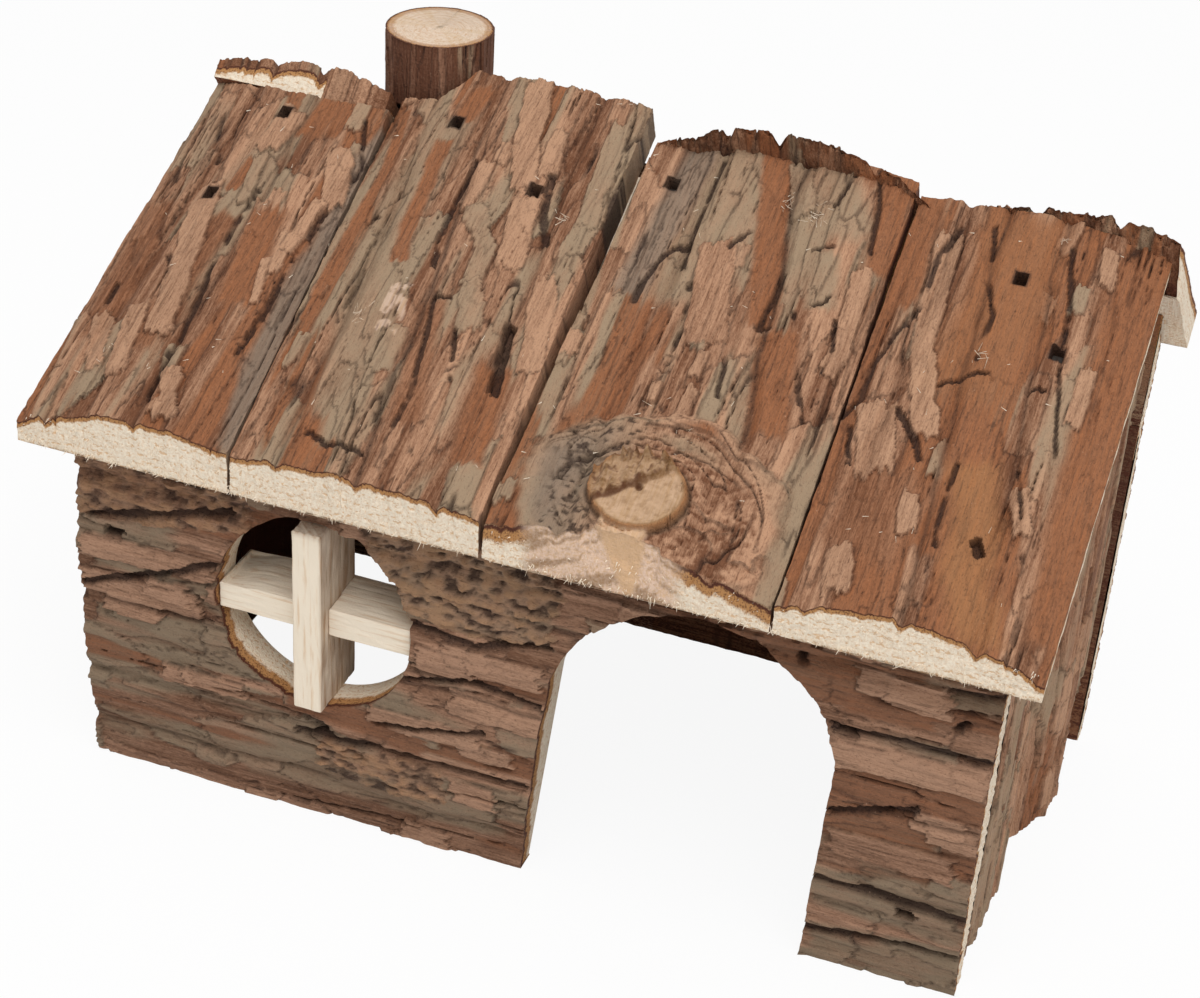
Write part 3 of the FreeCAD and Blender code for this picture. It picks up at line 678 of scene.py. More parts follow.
def unit_block(slab, cell, rows, openings):
    """A closed block over the unit square: a fine top for the bark, sides in rows, a flat base."""
    wide, long = slab.span()
    block = bmesh.new()
    columns, lines = [max(8, round(size / cell)) for size in (wide, long)]
    bmesh.ops.create_grid(block, x_segments=columns, y_segments=lines, size=0.5,
                          matrix=Matrix.Translation((0.5, 0.5, 1)))
    for opening in openings:
        opening.cut(block)
    edges = [edge for edge in block.edges if edge.is_boundary]
    for row in range(1, rows + 1):
        made = bmesh.ops.extrude_edge_only(block, edges=edges)["geom"]
        edges = open_edges(made)
        for vert in vertices(made):
            vert.co.z = 1 - row / rows
    bmesh.ops.triangle_fill(block, edges=edges, use_beauty=False, use_dissolve=False)
    bmesh.ops.recalc_face_normals(block, faces=block.faces[:])
    if slab.mirrored:
        bmesh.ops.reverse_faces(block, faces=block.faces[:])
    return block


SHARP_EDGE = math.radians(50)
FRONT_SLABS = ["roof_front_slab_%d" % number for number in (1, 2, 3, 4)]
REAR_SLABS = ["roof_rear_slab_%d" % number for number in (1, 2, 3, 4)]
KNOT_SLAB = FRONT_SLABS[2]


def tree_of(node):
    """A node's faces, for finding where a straight line meets it."""
    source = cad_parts[node].data
    return faces_tree(source, [vert.co for vert in source.vertices])


def brad_heads(node):
    """The outer middle of each brad's head in a group of brads of the frame."""
    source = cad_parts[node].data
    group = bmesh.new()
    group.from_mesh(source)
    bmesh.ops.remove_doubles(group, verts=group.verts[:], dist=0.01 * MM)
    group.verts.ensure_lookup_table()
    heads, seen = [], set()
    for start in group.verts:
        if start.index in seen:
            continue
        brad, edge_of_brad = [], [start]
        while edge_of_brad:
            vert = edge_of_brad.pop()
            if vert.index in seen:
                continue
            seen.add(vert.index)
            brad.append(vert.co.copy())
            edge_of_brad.extend(edge.other_vert(vert) for edge in vert.link_edges)
        heads.append(head_of(brad))
    group.free()
    return heads


def head_of(brad):
    """Middle of the outer end of one brad, which is its wide end."""
    corners = np.array([corner[:] for corner in brad])
    centre = corners.mean(axis=0)
    _, _, ways = np.linalg.svd(corners - centre)
    along = (corners - centre) @ ways[0]
    ends = [np.abs(along - limit) < 0.2 * MM for limit in (along.min(), along.max())]
    middles = [corners[end].mean(axis=0) for end in ends]
    first, second = [np.linalg.norm(corners[end] - middle, axis=1).mean()
                     for end, middle in zip(ends, middles)]
    return middles[1] if second > first else middles[0]


FIELDS = {"FLOAT": "value", "FLOAT_VECTOR": "vector", "FLOAT_COLOR": "color"}


def store(mesh, name, kind, *values):
    """Keeps one number, three or four for each vertex, where the materials find them."""
    attribute = mesh.attributes.new(name, kind, "POINT")
    values = np.stack(values, axis=-1).astype(np.float32)
    attribute.data.foreach_set(FIELDS[kind], np.ascontiguousarray(values).ravel())


def store_bark(mesh, grain, under, bark, crack, bare, stain):
    """Keeps what the bark's material reads: places on the grain, depth under the bark and marks."""
    store(mesh, "grain", "FLOAT_VECTOR", *grain)
    store(mesh, "under", "FLOAT", under)
    store(mesh, "bark", "FLOAT_COLOR", bark.tone, crack, bark.raw, bark.weather)
    store(mesh, "bald", "FLOAT_VECTOR", bark.slate, bare, stain)
    mesh.set_sharp_from_angle(angle=SHARP_EDGE)
    mesh.update()


def add_piece(name, mesh, material, nodes):
    piece = bpy.data.objects.new(name, mesh)
    bpy.context.scene.collection.objects.link(piece)
    mesh.materials.append(material)
    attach(piece, BODY)
    if nodes:
        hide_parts(*nodes)
    return piece


class SlabWork(Patterned):
    """The dressing of one slab. These values are a plain slab's, and lengths are millimetres."""
    rows = (0.1, 0.6)               # shares of its length at which its edges are read
    temper = (0, 0, 0)              # how much paler, greyer and more orange its bark is
    patches = ()                    # marks in its bark
    dress = None                    # what shapes the knot in it
    from_end = True                 # whether marks are measured from its near end
    middles = ()                    # a place inside each opening
    heads = ()                      # middles of the heads of its brads
    wobble = 0.4                    # how wavy its long edges are
    torn = (0.3, 0.3)               # how torn its near and far ends are
    # How deep under the bark its near and far ends and its left and right edges count as lying
    bark_depth = (1.0, 1.0, 0.04, 0.04)
    hole_bark = 1.0                 # the same inside its openings
    sawn_to = 1000                  # how far across its far end is plain bark again
    skin = 0                        # how thick the bark is at its far end
    far_shift = (0, 0)              # how far its far end reaches past the node, left and right
    swell = (0, 0)                  # how much thicker it is there

    COVERED = 0.04                  # the same where bark covers the end
    SETTLED = 0.4                   # how much lower the flakes lie, to end level with the node
    THINNEST = 1.2
    PIT = (2.4, 3.0)                # width and length of the pit over a brad's head
    PIT_REACH = 6                   # no pit reaches further than this
    PIT_DEPTH = 0.3                 # how far the pit's floor lies under the head's top
    RIM = 0.0001                    # share of the unit block that counts as its rim
    PATTERNS = {
        "wavy_edge": (6, 1 / 0.6, 80, 4), "torn_end": (0.9, 1 / 9, 84, 3),
        "bend": (17, 1, 88, 2), "fine_bend": (4, 1, 91, 2), "furrow": (3, 12, 95, 3),
    }

    def __init__(self, node, across, along, seed, look, cell, **details):
        for name, value in details.items():
            setattr(self, name, value)
        self.seed = seed
        self.slab = slab = Slab(node, across, along, self.rows)
        openings = [Opening(slab, *middle) for middle in self.middles]
        coarser = 1
        block = unit_block(slab, cell * coarser, bpy.context.scene.house_detail.rows, openings)
        self.mesh = mesh_of(block, node)
        self.unit = places_of(self.mesh)
        right, up, self.share = self.unit.T
        self.near, self.far = up < self.RIM, up > 1 - self.RIM
        self.left, self.right = right < self.RIM, right > 1 - self.RIM
        self.across, self.along = self.torn_places(right, up)
        self.zero = slab.low[1] if self.from_end else 0
        self.bark = Bark(look, self.across / MM, (self.along - self.zero) / MM, seed, self.temper)
        self.shape_bark(right, up)

    def torn_places(self, right, up):
        """Places across and along the slab, with wavy long edges and torn ends, in metres."""
        across, along = self.slab.place(self.unit)
        ragged = self.wobble * np.abs(self.pattern("wavy_edge", along / MM, self.share))
        across = across + MM * ragged * (ramp(0.06, 0, right) - ramp(0.94, 1, right))
        rough = self.pattern("torn_end", across / MM, self.share)
        chipped = self.torn[0] * self.near + self.torn[1] * self.far
        along = along + MM * chipped * (rough - 0.8) * np.where(self.near, -1, 1)
        return across, along + MM * mixed(*self.far_shift, right) * ramp(0.75, 1.0, up)

    def shape_bark(self, right, up):
        """Flakes, marks, furrows of the node, the knot and the pits of the brads."""
        bark, slab, wide, along = self.bark, self.slab, self.slab.span()[0] / MM, self.along / MM
        area = wide * slab.span()[1] / MM
        bark.flakes(round(bark.look.flakes * area / 100), np.random.default_rng(self.seed))
        for patch in self.patches:
            bark.patch(*patch)
        bend = (1.2 * self.pattern("bend", along, 0 * along)
                + 0.4 * self.pattern("fine_bend", along, 0 * along))
        bend = bend * ramp(18, 40, along - slab.low[1] / MM)
        bend = bend * ramp(0, 0.1, right) * ramp(1, 0.9, right)
        bent = np.clip(right + bend / wide, 0, 1)
        sunk = slab.on_grid(slab.sunk, bent, self.along) / MM
        # Painted shade where the node's bark sinks into furrows
        bark.crack = np.maximum(bark.crack, 0.9 * ramp(0.7, 1.5, sunk))
        filled = ramp(-0.1, 0.5, self.pattern("furrow", bark.across, bark.along))
        bark.height = bark.height + 0.5 * sunk * filled - self.SETTLED
        bark.height = bark.height + mixed(*self.swell, right) * ramp(0.5, 0.95, up)
        self.plain = slab.thick(bent, self.along) / MM
        if self.dress:
            self.dress(self, bent)
        for head in self.heads:
            x, distance, out = (slab.axes @ np.array(head) - (0, self.zero, slab.flat)) / MM
            close = np.hypot(bark.across - x, bark.along - distance) < self.PIT_REACH
            depth = np.where(close, out - self.PIT_DEPTH - self.plain, 0)
            bark.pit(x, distance, self.PIT[0] / 2, self.PIT[1] / 2, depth)

    def finish(self):
        """Puts the mesh's vertices in place and keeps what the material reads."""
        bark, slab = self.bark, self.slab
        thick = np.maximum(self.plain + bark.height, self.THINNEST)
        local = np.stack([self.across, self.along, slab.flat + self.share * thick * MM], axis=1)
        self.mesh.vertices.foreach_set("co", (local @ slab.axes).ravel())
        covered = self.far & (bark.across > self.sawn_to)
        shown = np.select([covered, self.near, self.far, self.left, self.right],
                          (self.COVERED, *self.bark_depth), self.hole_bark)
        under = np.maximum((1 - self.share) * thick * shown - self.skin * self.far, 0)
        store_bark(self.mesh, local.T / MM, under, bark, bark.crack, bark.bare, bark.stain)
        return self.mesh


def slab_piece(node, across, along, seed, look, cell, material, slot, **details):
    """One bark-covered slab, on its node's own faces, with the bark's relief on its round back."""
    mesh = SlabWork(node, across, along, seed, look, cell, **details).finish()
    return add_piece(node + "_bark", mesh, material, [node])


class Knot(Patterned):
    """The sawn stub of a branch in a slab's eave end, in swirling bark. Lengths are millimetres."""
    MIDDLE = (23.6, 15.6)           # x and distance up from the eave
    RADIUS = 9.4
    FACE = 13.2                     # the sawn stub over the slab's flat side
    PITH = 0.9                      # how far the pith lies up from the middle
    SWIRL = (25, 16)                # middle of the bark that turns round the knot
    SWIRL_AXES = (27, 20)           # and half its width and length
    SWIRL_SEED = 44
    PLAIN_ROW = 42                  # distance up from the eave where no knot bulges the slab
    PATTERNS = {
        "outline": (1 / 1.6, 1 / 1.6, 41, 3), "swirl": (7, 7, 43, 3), "crumbs": (1.1, 0.9, 45, 3),
        "rings": (1 / 3.4, 1 / 1.2, 47, 2), "break": (2, 2, 48, 2), "rough": (1.1, 2.2, 49, 3),
        "arcs": (0.6, 0.5, 50, 2), "stem": (2, 1, 51, 2), "stem_grain": (0.5, 5, 52, 2),
        "fan": (0.8, 9, 53, 2), "spots": (0.8, 0.8, 54, 2), "grit": (0.55, 0.9, 55, 3),
    }

    def __init__(self, work, bent):
        """work is the slab's dressing, and bent the shares across it at which its node is read."""
        self.work, self.bark, bark = work, work.bark, work.bark
        self.east, self.up = bark.across - self.MIDDLE[0], bark.along - self.MIDDLE[1]
        self.angle = np.arctan2(self.up, self.east)
        self.away = np.hypot(self.east, 1.15 * self.up)
        outline = self.pattern("outline", np.cos(self.angle), np.sin(self.angle))
        self.ratio = self.away / self.RADIUS / (1 + 0.05 * outline)
        self.stub = ramp(1.03, 0.98, self.ratio)
        self.turn_bark()
        self.raise_collar(bent)
        self.saw_stub()
        self.show_stem()
        self.cut_eave()

    def turn_bark(self):
        """Bark that runs round the knot instead of up the slope."""
        bark = self.bark
        x, distance, wide, long = *self.SWIRL, *self.SWIRL_AXES
        ellipse = np.hypot((bark.across - x) / wide, (bark.along - distance) / long)
        ellipse = ellipse + 0.12 * self.pattern("swirl", bark.across, bark.along)
        outward, around = 11 * ellipse + 2.0 * np.sin(self.angle), 13 * np.abs(self.angle - 1.2)
        turned = Bark(bark.look, outward, around, self.SWIRL_SEED, (-0.02, 0.05, 0))
        crumbs = self.pattern("crumbs", bark.across, bark.along)
        ring = self.pattern("rings", self.ratio + 0.4 / 3.4 * np.sin(2 * self.angle), self.angle)
        ring = ramp(0.09, 0.0, np.abs(ring))
        tone = np.clip(turned.tone + 0.5 * ramp(0.12, 0.0, np.abs(ellipse - 0.9)) - 0.08, 0, 1)
        turned.tone = np.clip(tone + 0.8 * crumbs, 0, 1)
        turned.slate = 0.8 * ramp(20, 8, bark.across) * ramp(1.0, 0.7, ellipse)
        turned.weather = np.maximum(turned.weather, 0.7 * ramp(26, 12, bark.across))
        gaps = 0.9 * ramp(0.2, 0.4, -crumbs) * ramp(34, 16, bark.across)
        smoothed = ramp(8, 4, bark.across) * ramp(26, 20, bark.along)
        # Painted shade: dark rings in the grooves and dark gaps in the low places between the
        # crumbs
        darkest = np.max([turned.crack, 0.9 * ring * (self.up > -4), gaps], axis=0)
        turned.crack = darkest * (1 - smoothed)
        turned.height = (turned.height - 0.6 * ring + 0.35 * crumbs) * (1 - smoothed)
        bark.blend(turned, ramp(1.05, 0.9, ellipse))

    def raise_collar(self, bent):
        """Levels the bulge of the node, and lays a collar of bark round the stub, with painted
        shade at the stub's foot.
        """
        bark, slab = self.bark, self.work.slab
        row = np.full(len(bent), slab.low[1] + self.PLAIN_ROW * MM)
        level = slab.thick(bent, row) / MM - self.work.plain
        bark.height = bark.height + level * ramp(19, 13, self.away)
        bark.height = bark.height + 0.9 * ramp(1.5, 1.1, self.ratio)
        # Painted shade: a dark ring at the foot of the stub, where it rises from the collar
        bark.crack = np.maximum(bark.crack, ramp(1.14, 1.03, self.ratio) * 0.9)

    def saw_stub(self):
        """The stub's end: half of it smooth from the saw, half torn, with a ledge between them, a
        painted shadow along the ledge and painted shade among the torn fibres.
        """
        bark, east, up, ratio, stub = self.bark, self.east, self.up, self.ratio, self.stub
        beyond = up - 2.4 - 0.85 * east + 0.9 * self.pattern("break", east, up)
        torn = ramp(-0.6, 0.6, beyond)
        rough = self.pattern("rough", bark.across, bark.along)
        pith = np.hypot(east, up - self.PITH)
        face = self.FACE + torn * (0.8 + 1.5 * rough) - 0.6 * (1 - torn) * ramp(1.0, 0.6, ratio)
        face = face + 2.4 * ramp(0.05, 0.45, rough) * ramp(0.7, 1.0, ratio) * ramp(-1, 5, up)
        face = face - 1.0 * ramp(1.0, 0.2, pith)
        bark.height = mixed(bark.height, face - self.work.plain, stub)
        bark.bare = mixed(bark.bare, ramp(1.0, 0.9, ratio), stub)

        # A band along the ledge, painted into the stain and the dark marks as the ledge's shadow
        ledge_shadow = ramp(1.1, 0.2, np.abs(beyond + 0.3))
        arcs = self.pattern("arcs", np.hypot(east, up + 14), self.angle)
        spots = ramp(0.15, 0.4, self.pattern("spots", bark.across, bark.along))
        stain = (0.36 + 0.22 * torn * (1 + rough) + 0.2 * arcs + 0.4 * ledge_shadow
                 + 0.5 * ramp(1.0, 0.4, pith) + 0.2 * spots)
        bark.stain = mixed(bark.stain, np.clip(stain, 0, 1), stub)
        bark.stain = np.maximum(bark.stain, 0.8 * ramp(0.12, 0.04, np.abs(ratio - 0.97)))
        bark.raw = np.maximum(bark.raw * (1 - stub), mixed(0.75, 1, ramp(0.8, 1.0, ratio)) * stub)
        # Painted shade among the torn fibres, and the painted shadow along the ledge beside the
        # dark pith
        grit = 0.8 * torn * ramp(0.15, 0.45, -self.pattern("grit", bark.across, bark.along))
        dark = 0.9 * ledge_shadow * ramp(4, -3, east) + 0.8 * ramp(0.8, 0.3, pith) + grit
        bark.crack = mixed(bark.crack, np.clip(dark, 0, 1), stub)
        bark.slate = bark.slate * (1 - stub)
        bark.weather = bark.weather * (1 - stub)

    def show_stem(self):
        """Bare wood of the branch, from the stub down to the eave."""
        bark, up = self.bark, self.up
        bent = np.abs(self.east + 0.6 * self.pattern("stem", up, 0 * up))
        stem = ramp(5.4, 4.4, bent) * (up < 0) * (1 - self.stub)
        bark.bare = np.maximum(bark.bare, stem)
        grain = 0.1 + 0.2 * self.pattern("stem_grain", bark.across, bark.along)
        bark.stain = mixed(bark.stain, grain, stem)
        bark.raw = mixed(bark.raw, 0.8, stem)
        bark.crack = bark.crack * (1 - stem)
        bark.height = bark.height + stem * 0.8 * ramp(-13, -8, up)

    def cut_eave(self):
        """Planed wood on the eave's face, with the branch's stem and lines that fan out from it."""
        bark, east, depth = self.bark, self.east, 1 - self.work.share
        end = self.work.near & (self.work.share < 0.95)
        stem = ramp(5.6 - 4 * depth, 4.2 - 4 * depth, np.abs(east - 2.5 * depth))
        fan = self.pattern("fan", 10 * depth - 0.5 * np.abs(east) ** 0.9, np.abs(east))
        lines = ramp(0.0, 0.3, fan) * (1 - stem)
        bark.bare = np.where(end, ramp(3, 7, bark.across) * ramp(38, 33, bark.across), bark.bare)
        bark.stain = np.where(end, 0.6 * lines + 0.02, bark.stain)
        bark.raw = np.where(end, stem, bark.raw)
        bark.crack = np.where(end, 0, bark.crack)


# ---------------------------------------------------------------- chimney, bars and fibres

class Chimney(Patterned):
    """An upright branch piece, with bark round its side and a ringed, sawn top."""
    SEED = 2300
    TEMPER = (-0.25, -0.1, -0.05)
    SEGMENTS, ROWS, RINGS = 300, 90, 26
    FOOT_PLACES = 181               # how many places round it where its foot on the roof is read
    SEAM = 0.5                      # radians over which its bark is blended to close round the back
    PATTERNS = {"chip": (0.25, 1, 2310, 3), "rings": (1 / 3, 1 / 3, 2320, 2)}

    def shape(self):
        """A closed drum of radius 1: a fine side from 0 down to -1, and a top in rings."""
        coarser = 1
        segments, rows = self.SEGMENTS // coarser, self.ROWS // coarser
        rings = self.RINGS // coarser
        shape = bmesh.new()
        bmesh.ops.create_circle(shape, cap_ends=False, segments=segments, radius=1)
        rim = shape.edges[:]
        for count, inward in ((rows, False), (rings, True)):
            edges = rim
            for row in range(1, count + 1):
                made = bmesh.ops.extrude_edge_only(shape, edges=edges)["geom"]
                edges = [edge for edge in open_edges(made) if edge not in rim]
                for vert in vertices(made):
                    vert.co.z = 0 if inward else -row / rows
                    if inward:
                        vert.co.xy = vert.co.xy.normalized() * (1 - row / (rings + 1))
            bmesh.ops.triangle_fill(shape, edges=edges, use_beauty=False, use_dissolve=False)
        bmesh.ops.recalc_face_normals(shape, faces=shape.faces[:])
        return shape

    def foot(self, node, angle, middle, radius, bottom):
        """How high the node's lower end is, in each direction from its middle."""
        tree = tree_of(node)
        turns = np.linspace(-math.pi, math.pi, self.FOOT_PLACES)
        feet = []
        for turn in turns:
            x, y = middle + 0.97 * radius * np.array([math.sin(turn), -math.cos(turn)])
            foot = tree.ray_cast(Vector((x, y, bottom - 10 * MM)), Z_AXIS)[0]
            feet.append(bottom if foot is None else foot.z)
        return np.interp(angle, turns, feet)

    def piece(self, node, look, material):
        low, high = [np.array(corner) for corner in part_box(node)]
        middle, radius = (low + high)[:2] / 2, (high - low)[0] / 2
        mesh = mesh_of(self.shape(), node)
        x, y, down = places_of(mesh).T
        angle, share = np.arctan2(x, -y), np.hypot(x, y)
        along = mixed(high[2], self.foot(node, angle, middle, radius, low[2]), -down)
        round_way = radius / MM
        bark, closing = [Bark(look, turn * round_way, along / MM, self.SEED, self.TEMPER)
                         for turn in (angle, angle + 2 * math.pi)]
        bark.blend(closing, ramp(self.SEAM - math.pi, -math.pi, angle))
        side = ramp(0.995, 1.0, share)
        chip = 0.14 * self.pattern("chip", angle, 0 * angle) * (down > -0.0001)
        reach = radius * share + MM * side * np.clip(0.5 * bark.height - 0.35, -1.2, 0.5)
        along = along + MM * side * chip
        places = [middle[0] + reach * np.sin(angle), middle[1] - reach * np.cos(angle), along]
        mesh.vertices.foreach_set("co", np.stack(places, axis=1).ravel())
        ring = np.abs(np.sin((share * 10 + 0.12 * self.pattern("rings", x, y)) * math.pi))
        split = ramp(0.05, 0.0, np.abs(x - 0.4 * y)) * ramp(0.28, 0.1, share)
        pith = 0.9 * ramp(0.09, 0.03, share)
        stain = np.clip(0.16 * ramp(0.6, 0.95, ring) + pith + 0.5 * split, 0, 1)
        grain = (angle * round_way * share, along / MM, reach / MM)
        store_bark(mesh, grain, (1 - share) * round_way * 0.8, bark, bark.crack * side,
                   0.55 * ramp(0.93, 0.88, share), stain)
        return add_piece(node + "_branch", mesh, material, [node])


def bar_mesh(node, along, worn=0.3, long_cell=1.2, cross_cell=0.7):
    """The node's strip with worn edges, cut into small faces; lengths are millimetres."""
    shape = bmesh.new()
    shape.from_mesh(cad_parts[node].data)
    bmesh.ops.remove_doubles(shape, verts=shape.verts[:], dist=0.01 * MM)
    bmesh.ops.dissolve_limit(shape, angle_limit=0.02, verts=shape.verts[:], edges=shape.edges[:])
    sharp = [edge for edge in shape.edges if edge.calc_face_angle(0) > 1]
    bmesh.ops.bevel(shape, geom=sharp, offset=worn * MM, segments=1, affect="EDGES", profile=0.5)
    low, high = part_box(node)
    for number, axis in enumerate((X_AXIS, Y_AXIS, Z_AXIS)):
        step = (long_cell if axis == along else cross_cell) * MM
        for place in np.arange(low[number] + step, high[number] - step / 2, step):
            bmesh.ops.bisect_plane(shape, geom=shape.verts[:] + shape.edges[:] + shape.faces[:],
                                   plane_co=axis * place, plane_no=axis)
    bmesh.ops.triangulate(shape, faces=shape.faces[:])
    return mesh_of(shape, node)


SAW_MARKS = (5, 0.9, 2400, 3)         # length and width of a strip's bumps in mm, seed and octaves


def bar_piece(node, along, material, whittled=0.0):
    """A hand-sawn strip of the window's cross: worn edges, a scorched side, a whittled end."""
    mesh = bar_mesh(node, along)
    corners = places_of(mesh)
    normals = np.array([vert.normal[:] for vert in mesh.vertices])
    long = corners @ np.array(along) / MM
    other = corners.sum(axis=1) / MM - long
    bump_long, bump_wide, seed, octaves = SAW_MARKS
    bump = fractal(long / bump_long, other / bump_wide, seed, octaves)
    from_start, upward = long - long.min(), np.maximum(normals[:, 2], 0)
    taper = whittled * ramp(9, 0, from_start) * upward
    corners = corners + MM * normals * (0.16 * bump - taper)[:, None]
    mesh.vertices.foreach_set("co", corners.ravel())
    if along == Z_AXIS:
        scorch = np.maximum(normals[:, 0], 0) ** 2 * (0.6 + 0.5 * bump)
        # Darker over the last 1.5 mm towards the top end
        scorch = scorch + 0.3 * ramp(1.5, 0.2, long.max() - long)
    else:
        scorch = upward ** 2 * (0.04 + 0.4 * bump) * ramp(3, 8, from_start)
    store(mesh, "scorch", "FLOAT", np.clip(scorch, 0, 1))
    mesh.update()
    return add_piece(node + "_strip", mesh, material, [node])


def spike(shape, matrix, depth, foot, tip):
    """Adds one thin three-sided splinter."""
    bmesh.ops.create_cone(shape, cap_ends=True, cap_tris=False, segments=3, depth=depth,
                          radius1=foot, radius2=tip, matrix=matrix)


SPIKE_VERTICES = 6
SPLINTERED = ((-100, 100), (8, 108))  # where splinters lie, in x and up the slope, in millimetres
ROOF_SLOPE = math.radians(24)
UP_SLOPE = Vector((0, math.cos(ROOF_SLOPE), math.sin(ROOF_SLOPE)))


def splinter_piece(name, material, count, seed, tufts):
    """Small splinters on the roof's bark, scattered and in tufts at places x and up the slope."""
    random = np.random.default_rng(seed)
    trees = [tree_of(node) for node in FRONT_SLABS]
    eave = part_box(FRONT_SLABS[-1])[0]
    places = [(*[random.uniform(*limits) for limits in SPLINTERED], 1.0) for _ in range(count)]
    for x, distance, spread, number in tufts:
        places += [(*random.normal((x, distance), spread, 2), 1.8) for _ in range(number)]
    golden = []
    shape = bmesh.new()
    for x, distance, longer in places:
        start = Vector((x * MM, eave[1], eave[2])) + UP_SLOPE * distance * MM
        found = [tree.ray_cast(start + 0.05 * Z_AXIS, -Z_AXIS)[0] for tree in trees]
        found = [place for place in found if place is not None]
        if not found:
            continue
        place = max(found, key=lambda spot: spot.z) + random.uniform(0.2, 0.9) * MM * Z_AXIS
        turn = random.uniform(0, 2 * math.pi)
        lean = X_AXIS * math.cos(turn) + UP_SLOPE * math.sin(turn)
        lean = lean + Z_AXIS * random.uniform(-0.1, 0.35) * longer
        size = random.uniform(0.4, 1.4) * longer * MM
        matrix = Matrix.Translation(place) @ lean.to_track_quat("Z", "Y").to_matrix().to_4x4()
        spike(shape, matrix, size, random.uniform(0.05, 0.11) * MM, 0.03 * MM)
        shades = (0.25, 0.75) if longer > 1 else (0, 0.3)
        golden += [random.uniform(*shades)] * SPIKE_VERTICES
    mesh = mesh_of(shape, name)
    store(mesh, "scorch", "FLOAT", np.array(golden))
    return add_piece(name, mesh, material, [])


def fibre_piece(name, material, count, seed, start, end, way, lengths, spread=(0.0, 0.0)):
    """Torn wood fibres between two places: thin three-sided spikes that lean about one way."""
    random = np.random.default_rng(seed)
    start, end = np.array(start), np.array(end)
    root = 0.3 * MM                 # how far a fibre starts inside the wood
    shape = bmesh.new()
    for _ in range(count):
        share = random.random()
        place = start + (end - start) * share + (0, 0, random.uniform(*spread))
        lean = Vector(way) + Vector(random.normal(0, 0.45, 3))
        clump = 0.6 + 0.4 * math.sin(37 * share + seed) * math.sin(91 * share)
        size = random.uniform(*lengths) * random.uniform(0.4, 1.0) * clump
        turn = lean.to_track_quat("Z", "Y").to_matrix().to_4x4()
        matrix = Matrix.Translation(place) @ turn @ Matrix.Translation((0, 0, size / 2 - root))
        spike(shape, matrix, size + 2 * root, random.uniform(0.08, 0.2) * MM, 0.02 * MM)
    return add_piece(name, mesh_of(shape, name), material, [])


# ---------------------------------------------------------------- shader maths

class Shade:
    """A shader value or socket, with arithmetic that adds Math nodes."""

    def __init__(self, paper, link):
        self.paper, self.link = paper, link

    def maths(self, operation, *values):
        inputs = dict(enumerate(values))
        return self.paper.node("ShaderNodeMath", {"operation": operation}, inputs)

    def __add__(self, other):
        return self.maths("ADD", self, other)

    def __sub__(self, other):
        return self.maths("SUBTRACT", self, other)

    def __mul__(self, other):
        return self.maths("MULTIPLY", self, other)

    def __rsub__(self, other):
        return self.maths("SUBTRACT", other, self)

    __radd__ = __add__
    __rmul__ = __mul__

    def clamp(self):
        return self.paper.node("ShaderNodeClamp", {}, {"Value": self})

    def beside(self, output):
        """Another output of the same node."""
        return Shade(self.paper, self.link.node.outputs[output])

    def step(self, start, end):
        """Smooth step from 0 at start to 1 at end."""
        settings = {"interpolation_type": "SMOOTHSTEP"}
        inputs = {"Value": self, "From Min": start, "From Max": end, "To Min": 0.0, "To Max": 1.0}
        if start > end:
            inputs.update({"From Min": end, "From Max": start, "To Min": 1.0, "To Max": 0.0})
        return self.paper.node("ShaderNodeMapRange", settings, inputs)


class Paper:
    """The node tree of a new material or world."""

    def __init__(self, owner):
        self.owner = owner
        owner.use_nodes = True
        self.tree = owner.node_tree
        self.tree.nodes.clear()

    def node(self, kind, settings, inputs, output=0):
        """Adds a node: its settings first, then its sockets' values or links."""
        made = self.tree.nodes.new(kind)
        for name, value in settings.items():
            setattr(made, name, value)
        for name, value in inputs.items():
            if isinstance(value, Shade):
                self.tree.links.new(value.link, made.inputs[name])
            else:
                made.inputs[name].default_value = value
        return Shade(self, made.outputs[output]) if made.outputs else None

    def attribute(self, name, output="Fac"):
        return self.node("ShaderNodeAttribute", {"attribute_name": name}, {}, output)

    def parts(self, vector):
        first = self.node("ShaderNodeSeparateXYZ", {}, {0: vector})
        return first, first.beside(1), first.beside(2)

    def mix(self, share, low, high):
        """A colour between two, each a Shade or a property's colour."""
        low, high = [value if isinstance(value, Shade) else (*value, 1.0) for value in (low, high)]
        return self.node("ShaderNodeMix", {"data_type": "RGBA"}, {0: share, 6: low, 7: high}, 2)

    def noise(self, vector, size, detail=3.0):
        """Noise with bumps of this size along each of a vector's parts."""
        scaled = self.node("ShaderNodeVectorMath", {"operation": "DIVIDE"}, {0: vector, 1: size})
        inputs = {"Vector": scaled, "Scale": 1.0, "Detail": detail, "Roughness": 0.55}
        return self.node("ShaderNodeTexNoise", {"noise_dimensions": "3D"}, inputs)

    def finish(self, base, roughness, height, depth):
        """The surface: base colour and roughness, and a bump of this depth in metres."""
        bump = {"Strength": 1.0, "Distance": depth, "Height": height}
        inputs = {"Base Color": base, "Roughness": roughness, "Specular IOR Level": 0.25,
                  "Normal": self.node("ShaderNodeBump", {}, bump)}
        surface = self.node("ShaderNodeBsdfPrincipled", {}, inputs)
        self.node("ShaderNodeOutputMaterial", {}, {"Surface": surface})
        return self.owner


